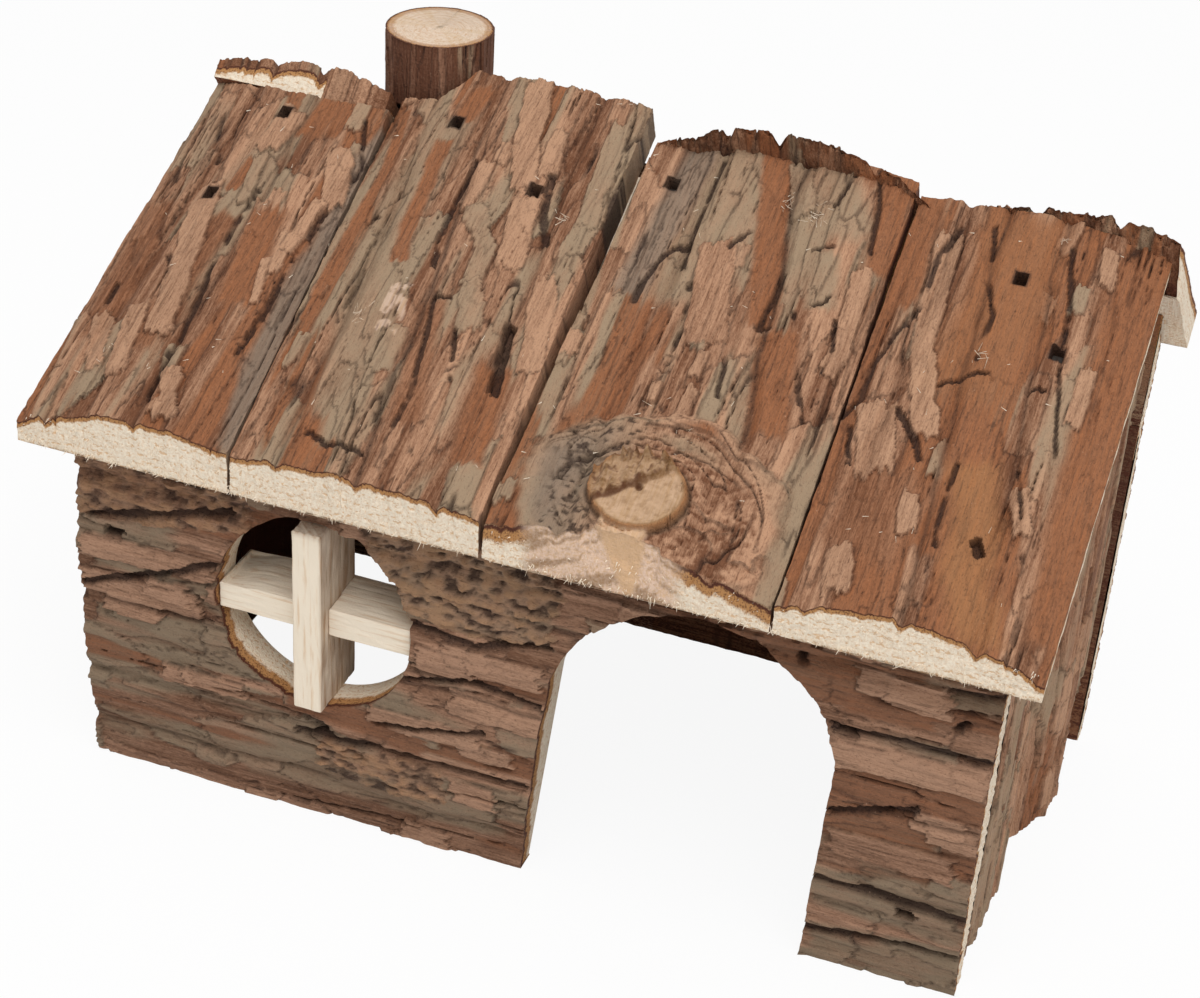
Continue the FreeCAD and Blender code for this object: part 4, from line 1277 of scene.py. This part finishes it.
class BarkPaper(Paper):
    """Bark over its cambium and sawn wood, by how deep under the bark a place lies."""

    def __init__(self, name, look, wood):
        super().__init__(bpy.data.materials.new(name))
        self.look, self.wood = look, wood
        self.grain = self.attribute("grain", "Vector")
        marks = self.attribute("bark", "Color")
        self.tone, self.crack, self.raw = self.parts(marks)
        self.weather = marks.beside("Alpha")
        self.slate, self.bare, self.stain = self.parts(self.attribute("bald", "Vector"))
        # Sizes of the bumps across and along the grain and outward, in millimetres
        self.streak = self.noise(self.grain, (0.45, 9.0, 0.8), 4.0)
        self.speck = self.noise(self.grain, (0.35, 0.6, 0.4))
        self.fleck = self.noise(self.grain, (0.2, 1.6, 0.3))
        self.cloud = self.noise(self.grain, (5.0, 14.0, 5.0))
        self.fibres = self.noise(self.grain, (0.5, 9.0, 0.5))
        self.pores = self.noise(self.grain, (0.85, 0.6, 0.5), 2.0)

    def flakes(self):
        """The bark's colours: flakes, inner bark, old furrows, cracks and specks, with painted
        shade in cracks, holes and low places.
        """
        look, streak, speck, fleck = self.look, self.streak, self.speck, self.fleck
        detail = (streak - 0.5) * 1.2 + (speck - 0.5) * 0.5 + (fleck - 0.5) * 1.1
        flakes = self.mix((self.tone + detail).clamp(), look.low, look.high)
        old = self.weather * (self.cloud * 1.5 + 0.1 + (fleck - 0.5) * 0.8)
        flakes = self.mix(old.clamp(), flakes, look.weathered)
        inner = self.mix((detail * 1.1 + 0.5).clamp(), look.low, look.inner)
        flakes = self.mix((self.raw * (0.9 + (streak - 0.5) * 0.6)).clamp(), flakes, inner)
        flakes = self.mix(self.stain * 0.55, flakes, look.cambium)
        flakes = self.mix(self.slate * (streak * 0.9 + 0.35), flakes, look.slate)
        fine = speck.step(0.42, 0.3) + streak.step(0.4, 0.28) + fleck.step(0.38, 0.28)
        # Cracks and the painted shade in holes, gaps and at the flakes' edges take the black-brown
        # colour, with fine dark specks
        flakes = self.mix((self.crack * 0.85 + fine * 0.3).clamp(), flakes, look.crack)
        return self.mix(speck.step(0.66, 0.78) * 0.35, flakes, look.speck)

    def sawn(self):
        """Sawn wood: pale, with fine pores in rows."""
        rows = self.parts(self.grain)[2] * 4.0 + (self.cloud - 0.5) * 6.0
        pores = (self.pores - rows.maths("SINE", rows) * 0.06).step(0.44, 0.34)
        cut = self.mix(self.fibres.step(0.42, 0.62), self.wood.sawn, self.wood.grain)
        cut = self.mix(0.7, cut, self.wood.sawn)
        return self.mix(pores * 0.8, cut, self.wood.grain)

    def planed(self):
        """Bare wood: a planed facet, a branch's stem and the stained end of a knot."""
        fibres, wood = self.fibres, self.wood
        planed = self.mix(fibres.step(0.4, 0.65) * 0.7, wood.blush, wood.grain)
        planed = self.mix(self.raw * 0.8, planed, wood.grain)
        # The stain and the dark marks carry the knot's painted shadow along its ledge and painted
        # shade among its torn fibres
        planed = self.mix((self.stain * (fibres * 0.8 + 0.6)).clamp(), planed, wood.stain)
        return self.mix(self.crack * 0.8, planed, self.look.rim)

    def finished(self):
        """Bark, its cut rim, the cambium and sawn wood one under the other, and bare wood."""
        look, streak, speck = self.look, self.streak, self.speck
        depth = self.attribute("under") + (streak - 0.5) * 0.6 + (speck - 0.5) * 0.5
        cambium = self.mix(speck.step(0.5, 0.36) * 0.7, look.cambium, look.rim)
        base = self.mix(depth.step(0.12, 0.3), self.flakes(), look.rim)
        base = self.mix(depth.step(0.5, 0.85), base, cambium)
        base = self.mix(depth.step(1.5, 2.1), base, self.sawn())
        base = self.mix(self.bare, base, self.planed())
        height = streak * 0.6 + speck * 0.4 + self.fleck * 0.5 + self.pores * 0.7
        return self.finish(base, 0.82, height, 0.3 * MM)


def wood_material(name, wood, grain):
    """Sawn strip wood, a little scorched by the saw; grain is its bumps' size along each axis."""
    paper = Paper(bpy.data.materials.new(name))
    place = paper.node("ShaderNodeTexCoord", {}, {}, "Object")
    long = paper.noise(place, [size * MM for size in grain], 4.0)
    fine = paper.noise(place, (0.5 * MM, 0.5 * MM, 0.5 * MM))
    scorch = paper.attribute("scorch")
    base = paper.mix(long.step(0.5, 0.7) * 0.55, wood.sawn, wood.grain)
    base = paper.mix((scorch * (long * 0.9 + 0.4)).clamp(), base, wood.scorched)
    return paper.finish(base, 0.75, long * 0.6 + fine * 0.4, 0.2 * MM)


def steel_material(look):
    paper = Paper(bpy.data.materials.new("brad_steel_dull"))
    place = paper.node("ShaderNodeTexCoord", {}, {}, "Object")
    wear = paper.noise(place, (0.8 * MM, 0.8 * MM, 0.8 * MM))
    base = paper.mix(wear.step(0.35, 0.7), look.steel, look.rust)
    return paper.finish(base, 0.45, wear, 0.05 * MM)


# ---------------------------------------------------------------- operators

class HouseOperator:
    """What every operator of this file shares."""
    bl_options = {"REGISTER", "UNDO"}


class HOUSE_OT_roof(HouseOperator, bpy.types.Operator):
    """Covers the roof slabs with bark"""
    bl_idname = "house.roof"
    bl_label = "Roof slabs"

    # How each slab differs, from left to right; SlabWork says what each value is
    FRONT_BARK = ((1.4, 1, 0.01, 0.01), (1.3, 1, 0.01, 0.008), (0.55, 0.04, 0.01, 0.15),
                  (1.5, 1, 0.01, 1))
    FRONT_TEMPERS = ((-0.06, -0.14, 0.0), (0.02, 0.12, -0.04), (0.03, 0.1, 0.0), (-0.06, -0.3, 0.2))
    FRONT_REACH = ((0, 0), (0, 0), (5, 7.5), (5.5, 5.5))
    FRONT_SWELL = ((0, 0), (0, 0), (0, 2.2), (0, 0))
    FRONT_SEEDS = (100, 200, 300, 400)
    REAR = (
        {"bark_depth": (1, 1, 0.04, 0.04), "sawn_to": -79, "skin": 1.8, "torn": (0.3, 0.3)},
        {"bark_depth": (1, 0.04, 0.04, 0.04)},
        {"bark_depth": (1, 0.04, 0.04, 0.01), "far_shift": (-6, -6)},
        {"bark_depth": (1, 0.04, 0.04, 1), "far_shift": (-5, -5), "swell": (1.2, 0.8)},
    )
    REAR_SEEDS = (600, 700, 800, 900)
    # Marks of each front slab: kind, half-width, then places as x and distance from the eave, in mm
    MARKS = (
        (
            ("slate", 2.6, (-58, 7), (-61, 25), (-62, 45), (-61, 58), (-62, 82), (-60, 90)),
            ("crack", 0.5, (-66, 93), (-62, 80), (-64, 69), (-65, 51), (-65, 38), (-66, 27)),
            ("raw", 4, (-75, 61), (-72, 41)), ("raw", 3, (-75, 95), (-76, 87)),
            ("raw", 1.5, (-85, 75), (-86, 68)), ("red", 3.5, (-101, 60), (-98, 27)),
            ("red", 3, (-84, 58), (-86, 25)), ("flake", 2.2, (-98, 29), (-94, 17)),
            ("flake", 2.2, (-91, 32), (-88, 17)), ("flake", 2.5, (-67, 82), (-64, 70)),
            ("flake", 3, (-91, 66), (-84, 29)), ("flake", 2, (-76, 18), (-73, 9)),
            ("flake", 1.6, (-66, 68), (-67, 55)), ("flake", 3, (-82, 90), (-83, 81)),
            ("grey_flake", 1.5, (-83, 76), (-82, 65)), ("flake", 1, (-70, 50), (-68, 40)),
            ("crack", 0.45, (-94, 91), (-94, 81), (-94, 75)),
            ("crack", 0.55, (-80, 68), (-81, 59), (-81, 49), (-80, 39), (-79, 28), (-79, 22)),
            ("crack", 0.5, (-92, 48), (-89, 41)), ("crack", 0.6, (-100, 39), (-100, 34)),
            ("crack", 0.5, (-78, 24), (-79, 17), (-78, 10)),
        ),
        (
            ("grey", 2, (-52, 105), (-51, 83)), ("grey", 5, (-48, 95), (-49, 60), (-41, 22)),
            ("grey", 4, (-45, 57), (-43, 34), (-38, 15)), ("red", 3, (-32, 48), (-27, 22)),
            ("raw", 1.8, (-47, 90), (-45, 65), (-44, 59)), ("raw", 2.5, (-44, 107), (-45, 100)),
            ("raw", 1.2, (-59, 98), (-57, 83), (-57, 65), (-57, 40)),
            ("raw", 3.5, (-14, 36), (-12, 17)),
            ("grey_flake", 2.2, (-33, 74), (-27, 65), (-26, 57)),
            ("grey_flake", 2.5, (-26, 55), (-23, 46)),
            ("grey_flake", 2, (-12, 104), (-11, 92), (-10, 78)),
            ("flake", 3, (-32, 110), (-29, 94), (-26, 84)), ("flake", 1.8, (-23, 98), (-22, 88)),
            ("flake", 3, (-23, 78), (-21, 64)), ("flake", 2.5, (-12, 60), (-8, 41)),
            ("resin", 2.6, (-40, 50), (-39, 41)),
            ("crack", 0.6, (-38, 88), (-38, 80), (-38, 69), (-36, 58)),
            ("crack", 0.6, (-33, 52), (-30, 39), (-28, 27), (-28, 18)),
            ("hole", 1.3, (-15, 48), (-14, 40), (-13, 33)), ("crack", 0.5, (-25, 44), (-21, 30)),
            ("crack", 0.5, (-7, 92), (-7, 84), (-5, 68)), ("crack", 0.5, (-28, 83), (-23, 82)),
            ("crack", 0.8, (-21, 87), (-19, 78), (-16, 70)), ("crack", 0.6, (-53, 69), (-54, 67)),
            ("crack", 0.45, (-33, 51), (-29, 51)), ("crack", 0.6, (-44, 13), (-38, 11), (-32, 11)),
        ),
        (
            ("red", 3.5, (43, 114), (44, 105)), ("grey", 7, (15, 101), (16, 86), (15, 67)),
            ("slate", 3.5, (7, 105), (6, 88), (4, 66)), ("grey", 5, (34, 103), (42, 91)),
            ("grey", 3, (40, 80), (42, 72)), ("raw", 3, (22, 108), (26, 92), (29, 78), (32, 64)),
            ("raw", 3, (48, 106), (51, 84)), ("raw", 4, (37, 59), (41, 40)),
            ("brown_flake", 4, (19, 76), (23, 57)), ("grey_flake", 2.5, (29, 101), (32, 92)),
            ("flake", 2, (48, 80), (49, 62), (48, 57)),
            ("crack", 0.5, (12, 102), (12, 88), (12, 84), (13, 72)),
            ("crack", 0.5, (24, 85), (22, 81), (21, 78)),
            ("crack", 0.7, (12, 78), (8, 74), (6, 67), (6, 59)),
            ("crack", 0.6, (16, 67), (18, 59), (18, 48)),
            ("crack", 0.5, (41, 108), (39, 102), (38, 95)),
            ("crack", 0.5, (44, 106), (46, 99), (48, 85)),
            ("crack", 0.5, (38, 67), (40, 61), (44, 50), (47, 43)),
            ("crack", 0.5, (46, 68), (48, 59), (47, 56)), ("crack", 0.5, (28, 56), (30, 43)),
            ("crack", 0.5, (33, 76), (33, 70), (32, 62), (37, 63)),
            ("crack", 0.4, (37, 83), (41, 84)), ("crack", 0.4, (41, 70), (43, 72), (44, 76)),
        ),
        (
            ("raw", 6, (100, 96), (102, 64), (103, 38), (105, 13)),
            ("amber", 8, (76, 99), (77, 82), (74, 62)), ("raw", 5, (54, 105), (55, 79)),
            ("raw", 5, (72, 98), (78, 86), (80, 66)), ("red", 8, (66, 30), (65, 23)),
            ("raw", 4, (76, 55), (80, 40), (78, 22)),
            ("gold", 4.5, (82, 39), (85, 29), (86, 18), (91, 7)), ("hole", 1, (86, 25), (87, 23)),
            ("flake", 3.6, (60, 49), (63, 37)),
            ("flake", 2.5, (62, 94), (63, 81), (64, 67), (70, 47)),
            ("flake", 1.6, (93, 100), (94, 93)), ("flake", 1.8, (96, 69), (96, 58)),
            ("flake", 1.8, (72, 31), (73, 24)), ("flake", 2.5, (63, 16), (64, 9)),
            ("flake", 2, (91, 38), (93, 31)),
            ("crack", 0.6, (63, 99), (61, 88), (61, 76), (58, 68), (56, 61), (56, 52), (53, 46)),
            ("crack", 0.5, (70, 100), (72, 86), (75, 78), (75, 66)),
            ("crack", 0.5, (86, 98), (89, 84), (90, 72)),
            ("crack", 0.4, (90, 72), (92, 62), (95, 48)),
            ("crack", 0.5, (70, 58), (76, 63), (85, 62), (89, 63)),
            ("crack", 0.7, (64, 50), (69, 44), (71, 40)),
            ("crack", 0.4, (89, 44), (92, 34), (95, 24)),
            ("crack", 0.5, (78, 41), (78, 30), (79, 22)), ("crack", 0.5, (56, 45), (58, 36)),
        ),
    )

    def execute(self, context):
        scene = context.scene
        look, cell = scene.roof_bark, scene.house_detail.roof_cell
        material = BarkPaper("roof_bark", look, scene.house_wood).finished()
        shared = (look, cell, material, "roof_slab")
        front_heads, rear_heads = brad_heads("front_roof_brads"), brad_heads("rear_roof_brads")
        for index in range(4):
            front, rear = FRONT_SLABS[index], REAR_SLABS[index]
            slab_piece(front, X_AXIS, Y_AXIS, self.FRONT_SEEDS[index], *shared, heads=front_heads,
                       wobble=0.3, temper=self.FRONT_TEMPERS[index], patches=self.MARKS[index],
                       bark_depth=self.FRONT_BARK[index], far_shift=self.FRONT_REACH[index],
                       swell=self.FRONT_SWELL[index], dress=Knot if front == KNOT_SLAB else None)
            slab_piece(rear, X_AXIS, -Y_AXIS, self.REAR_SEEDS[index], *shared, heads=rear_heads,
                       temper=(-0.15, -0.2, 0), **{"torn": (0.3, 1.6), **self.REAR[index]})
        return {"FINISHED"}


class HOUSE_OT_front_wall(HouseOperator, bpy.types.Operator):
    """Covers the front wall with bark, round its doorway and window"""
    bl_idname = "house.front_wall"
    bl_label = "Front wall"

    SEED = 1200
    IN_DOORWAY = (35 * MM, 36 * MM)     # height and x of a place in the doorway
    # Marks: kind, half-height, then places as x and z, in millimetres
    MARKS = (
        ("tan", 7, (-26, 71), (-12, 72), (5, 74)), ("tan", 5, (-20, 66), (-8, 64), (6, 65)),
        ("rough", 7, (-97, 71), (-80, 72), (-62, 75)),
        ("rough", 5, (-38, 18), (-26, 17), (-16, 18)), ("tan", 1.8, (41, 78), (53, 79)),
        ("grey", 4, (-56, 11), (-28, 12)), ("grey", 3, (-24, 10), (-3, 11)),
        ("grey", 3, (69, 19), (96, 18)), ("grey", 3, (70, 5), (97, 5)),
        ("flake", 3, (-17, 51), (-8, 51)), ("flake", 3, (-5, 53), (6, 53)),
        ("flake", 2, (-8, 31), (1, 31)), ("flake", 3.2, (-93, 48), (-70, 48)),
        ("flake", 2.6, (-93, 57), (-66, 58)), ("flake", 2.5, (-28, 33), (-6, 34)),
        ("flake", 3, (69, 55), (96, 56)), ("flake", 3, (78, 71), (86, 71)),
        ("flake", 2.6, (89, 42), (96, 42)), ("raw", 2.5, (-46, 31), (-18, 28)),
        ("raw", 2, (69, 66), (84, 66)), ("raw", 2.5, (-40, 40), (-30, 38)),
        ("brown_flake", 3, (71, 34), (92, 34)), ("furrow", 0.9, (-46, 23), (-28, 24), (5, 25)),
        ("furrow", 0.9, (67, 60), (78, 61), (98, 61)), ("furrow", 1, (69, 41), (85, 46)),
        ("furrow", 0.8, (67, 23), (99, 22)), ("furrow", 0.9, (66, 8), (87, 11), (98, 11)),
        ("furrow", 0.7, (88, 74), (98, 75)), ("furrow", 0.8, (-95, 47), (-65, 59)),
        ("furrow", 0.8, (-93, 64), (-61, 72)), ("furrow", 0.7, (-20, 58), (-6, 57), (9, 61)),
        ("furrow", 0.7, (-23, 44), (-8, 48), (8, 46)), ("furrow", 0.6, (-28, 31), (-4, 36)),
        ("hole", 1.4, (-88, 61), (-86, 61)), ("hole", 1, (59, 73)),
        ("hole", 1, (69, 60), (71, 60)), ("hole", 1.2, (85, 20), (87, 20)),
        ("hole", 1.2, (91, 67)),
    )

    def execute(self, context):
        scene = context.scene
        look, cell = scene.wall_bark, scene.house_detail.wall_cell
        material = BarkPaper("wall_bark", look, scene.house_wood).finished()
        low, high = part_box("window_upright_bar")
        window = ((low[2] + high[2]) / 2, (low[0] + high[0]) / 2)
        patches = [(kind, size, *[(up, right) for right, up in places])
                   for kind, size, *places in self.MARKS]
        slab_piece("front_wall", Z_AXIS, X_AXIS, self.SEED, look, cell, material, "wall_slab",
                   rows=(0.01, 0.99), middles=(window, self.IN_DOORWAY), from_end=False,
                   hole_bark=0.5, patches=patches)
        return {"FINISHED"}


class HOUSE_OT_other_walls(HouseOperator, bpy.types.Operator):
    """Covers the side walls and the rear wall with bark"""
    bl_idname = "house.other_walls"
    bl_label = "Side and rear walls"

    SIDE_SEEDS = (1300, 1400, 1500, 1600)
    REAR_SEEDS = (1700, 1800)
    REAR_CELL = 1.06                # the rear wall is large, so its faces are a little larger

    def execute(self, context):
        scene = context.scene
        look, cell = scene.wall_bark, scene.house_detail.wall_cell
        material = BarkPaper("outer_wall_bark", scene.roof_bark, scene.house_wood).finished()
        shared = (look, cell, material, "wall_slab")
        sides = ["side_wall_%s_%s_slab" % (side, place)
                 for side in ("right", "left") for place in ("front", "rear")]
        for seed, node in zip(self.SIDE_SEEDS, sides):
            slab_piece(node, Y_AXIS, Z_AXIS, seed, *shared, rows=(0.2, 0.6), temper=(0.1, 0.05, 0))
        shared = (look, self.REAR_CELL * cell, material, "wall_slab")
        for seed, place in zip(self.REAR_SEEDS, ("lower", "upper")):
            slab_piece("rear_wall_%s_slab" % place, Z_AXIS, X_AXIS, seed, *shared, rows=(0.3, 0.7))
        return {"FINISHED"}


class HOUSE_OT_sawn_wood(HouseOperator, bpy.types.Operator):
    """Finishes the ridge batten, the window bars and the brads"""
    bl_idname = "house.sawn_wood"
    bl_label = "Sawn strips and brads"

    def execute(self, context):
        scene = context.scene
        wood = wood_material("level_strip_wood", scene.house_wood, (12.0, 0.7, 0.7))
        upright = wood_material("upright_strip_wood", scene.house_wood, (0.7, 0.7, 12.0))
        steel = steel_material(scene.house_steel)
        for node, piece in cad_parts.items():
            if "brad" in node:
                piece.material_slots[0].material = steel
            elif node == "ridge_batten":
                piece.material_slots[0].material = wood
        bar_piece("window_upright_bar", Z_AXIS, upright)
        bar_piece("window_cross_bar", X_AXIS, wood, whittled=1.5)
        return {"FINISHED"}


class HOUSE_OT_chimney(HouseOperator, bpy.types.Operator):
    """Dresses the chimney: a branch piece with its bark on and a ringed, sawn top"""
    bl_idname = "house.chimney"
    bl_label = "Chimney"

    def execute(self, context):
        scene = context.scene
        material = BarkPaper("branch_bark", scene.branch_bark, scene.house_wood).finished()
        Chimney().piece("chimney", scene.branch_bark, material)
        return {"FINISHED"}


class HOUSE_OT_fibres(HouseOperator, bpy.types.Operator):
    """Adds the torn fibres along the eave and at the right-hand wall joint, and splinters on the
    roof
    """
    bl_idname = "house.fibres"
    bl_label = "Torn fibres"

    # Tufts on the roof: x, distance up from the eave, spread and number of fibres
    TUFTS = ((31, 89, 1.3, 60), (36, 87, 1.6, 34), (84, 98, 0.8, 26), (-45, 38, 1.2, 10),
             (19, 27, 1.4, 9), (28, 26, 1.6, 9), (76, 62, 1.2, 9), (-14, 72, 1.0, 8))
    # Fibres along each eave: count, seed, way, lengths in fibre lengths and heights in millimetres
    EAVE = {"eave_fibres": (200, 2500, (0, -0.9, -0.7), (0.5, 1.5), (-0.2, 1.2)),
            "eave_fuzz": (130, 2600, (0, -1.0, -0.3), (0.25, 0.5), (0.5, 6.5))}
    SPLINTERS, SPLINTER_SEED = 110, 2800
    WALL_FIBRES, WALL_SEEDS = 100, (2700, 2701)
    WALL_HEIGHTS = ((76, 52), (60, 20))     # where the fibres at the wall's joint start and end

    def execute(self, context):
        scene = context.scene
        wood = wood_material("torn_fibre_wood", scene.house_wood, (0.8, 0.8, 0.8))
        long = scene.house_wood.fibre_length
        for index, slab in enumerate(FRONT_SLABS):
            low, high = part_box(slab)
            y, z = low[1] + 0.2 * MM, low[2] + 0.4 * MM
            for name, (count, seed, way, lengths, spread) in self.EAVE.items():
                fibre_piece("%s_%d" % (name, index + 1), wood, count, seed + index,
                            (low[0] + MM, y, z), (high[0] - MM, y, z), way,
                            [share * long for share in lengths], [edge * MM for edge in spread])
        splinter_piece("roof_splinters", wood, self.SPLINTERS, self.SPLINTER_SEED, self.TUFTS)
        low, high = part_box("side_wall_right_front_slab")
        x, y = high[0] - 5 * MM, low[1] + 0.5 * MM
        for index, (top, bottom) in enumerate(self.WALL_HEIGHTS):
            fibre_piece("wall_fibres_%d" % (index + 1), wood, self.WALL_FIBRES,
                        self.WALL_SEEDS[index], (x, y, top * MM), (x - MM, y, bottom * MM),
                        (0.7, -0.6, -0.5), (1.2 * long, 4.0 * long))
        return {"FINISHED"}


class HOUSE_OT_stage(HouseOperator, bpy.types.Operator):
    """Lays the floor, lights it and sets the camera"""
    bl_idname = "house.stage"
    bl_label = "Stage"

    CAMERA_PLACE = (0.14093, -0.42566, 0.34614)
    CAMERA_RIGHT = (0.93568591, 0.34851314, 0.0550496)
    CAMERA_UP = (-0.23102494, 0.4872304, 0.84216032)
    CAMERA_BACK = (0.2666821, -0.80071538, 0.53640985)
    LAMP_PLACE, LAMP_SIZE = (0.25, -0.45, 1.1), 0.9
    LAMP_AIM = (0, 0, 0.06)             # the middle of the house
    FLOOR_HALF, FLOOR_GREY = 4, 0.9
    FLOOR_WHITE = 0.92                  # how much of the floor the camera sees as plain white

    def execute(self, context):
        stage = context.scene.house_stage
        self.floor()
        self.sky(stage.fill)
        self.lamp("key", stage.key)
        self.camera(stage.lens)
        return {"FINISHED"}

    def floor(self):
        shape = bmesh.new()
        bmesh.ops.create_grid(shape, x_segments=1, y_segments=1, size=self.FLOOR_HALF)
        mesh = mesh_of(shape, "floor")
        paper = Paper(bpy.data.materials.new("pale_floor"))
        matt = paper.node("ShaderNodeBsdfDiffuse", {}, {"Color": (*[self.FLOOR_GREY] * 3, 1)})
        white = paper.node("ShaderNodeEmission", {}, {"Color": (1, 1, 1, 1), "Strength": 1.0})
        seen = paper.node("ShaderNodeLightPath", {}, {}, "Is Camera Ray")
        surface = paper.node("ShaderNodeMixShader", {},
                             {0: seen * self.FLOOR_WHITE, 1: matt, 2: white})
        paper.node("ShaderNodeOutputMaterial", {}, {"Surface": surface})
        mesh.materials.append(paper.owner)
        floor = bpy.data.objects.new("floor", mesh)
        bpy.context.scene.collection.objects.link(floor)

    def sky(self, strength):
        paper = Paper(bpy.data.worlds.new("soft_sky"))
        camera_ray = paper.node("ShaderNodeLightPath", {}, {}, "Is Camera Ray")
        seen = camera_ray.maths("MAXIMUM", camera_ray, camera_ray.beside("Is Glossy Ray"))
        level = {"Value": seen, "To Min": strength, "To Max": 1.0}
        light = {"Color": (1, 1, 1, 1), "Strength": paper.node("ShaderNodeMapRange", {}, level)}
        surface = paper.node("ShaderNodeBackground", {}, light)
        paper.node("ShaderNodeOutputWorld", {}, {"Surface": surface})
        bpy.context.scene.world = paper.owner

    def lamp(self, name, power):
        data = bpy.data.lights.new(name, "AREA")
        data.shape = "DISK"
        data.size = self.LAMP_SIZE
        data.energy = power
        lamp = bpy.data.objects.new(name, data)
        aim = Vector(self.LAMP_AIM) - Vector(self.LAMP_PLACE)
        lamp.rotation_euler = aim.to_track_quat("-Z", "Y").to_euler()
        lamp.location = self.LAMP_PLACE
        bpy.context.scene.collection.objects.link(lamp)

    def camera(self, lens):
        data = bpy.data.cameras.new("camera")
        data.lens = lens
        data.sensor_width = 36
        data.clip_start = 0.01
        camera = bpy.data.objects.new("camera", data)
        turn = Matrix((self.CAMERA_RIGHT, self.CAMERA_UP, self.CAMERA_BACK)).transposed()
        camera.matrix_world = Matrix.Translation(self.CAMERA_PLACE) @ turn.to_4x4()
        bpy.context.scene.collection.objects.link(camera)
        bpy.context.scene.camera = camera
        bpy.context.scene.view_settings.view_transform = "Standard"


class HOUSE_PT_panel(bpy.types.Panel):
    """Lists the steps that dress the house"""
    bl_idname = "HOUSE_PT_panel"
    bl_label = "Hamster house"
    bl_space_type = "VIEW_3D"
    bl_region_type = "UI"
    bl_category = "Hamster house"

    def draw(self, context):
        for step in STEPS:
            self.layout.operator(step.bl_idname)


STEPS = (HOUSE_OT_stage, HOUSE_OT_roof, HOUSE_OT_front_wall, HOUSE_OT_other_walls,
         HOUSE_OT_sawn_wood, HOUSE_OT_chimney, HOUSE_OT_fibres)
LOOKS = {"roof_bark": RoofBark, "wall_bark": WallBark, "branch_bark": BranchBark,
         "house_wood": WoodLook, "house_steel": SteelLook, "house_stage": StageLook,
         "house_detail": MeshDetail}


def register():
    for kind in (*LOOKS.values(), *STEPS, HOUSE_PT_panel):
        bpy.utils.register_class(kind)
    for name, kind in LOOKS.items():
        setattr(bpy.types.Scene, name, PointerProperty(type=kind))


def unregister():
    for name in LOOKS:
        delattr(bpy.types.Scene, name)
    for kind in (HOUSE_PT_panel, *reversed(STEPS), *reversed(LOOKS.values())):
        bpy.utils.unregister_class(kind)


def main():
    register()
    for step in STEPS:
        area, name = step.bl_idname.split(".")
        getattr(getattr(bpy.ops, area), name)()


if __name__ == "__main__":
    main()
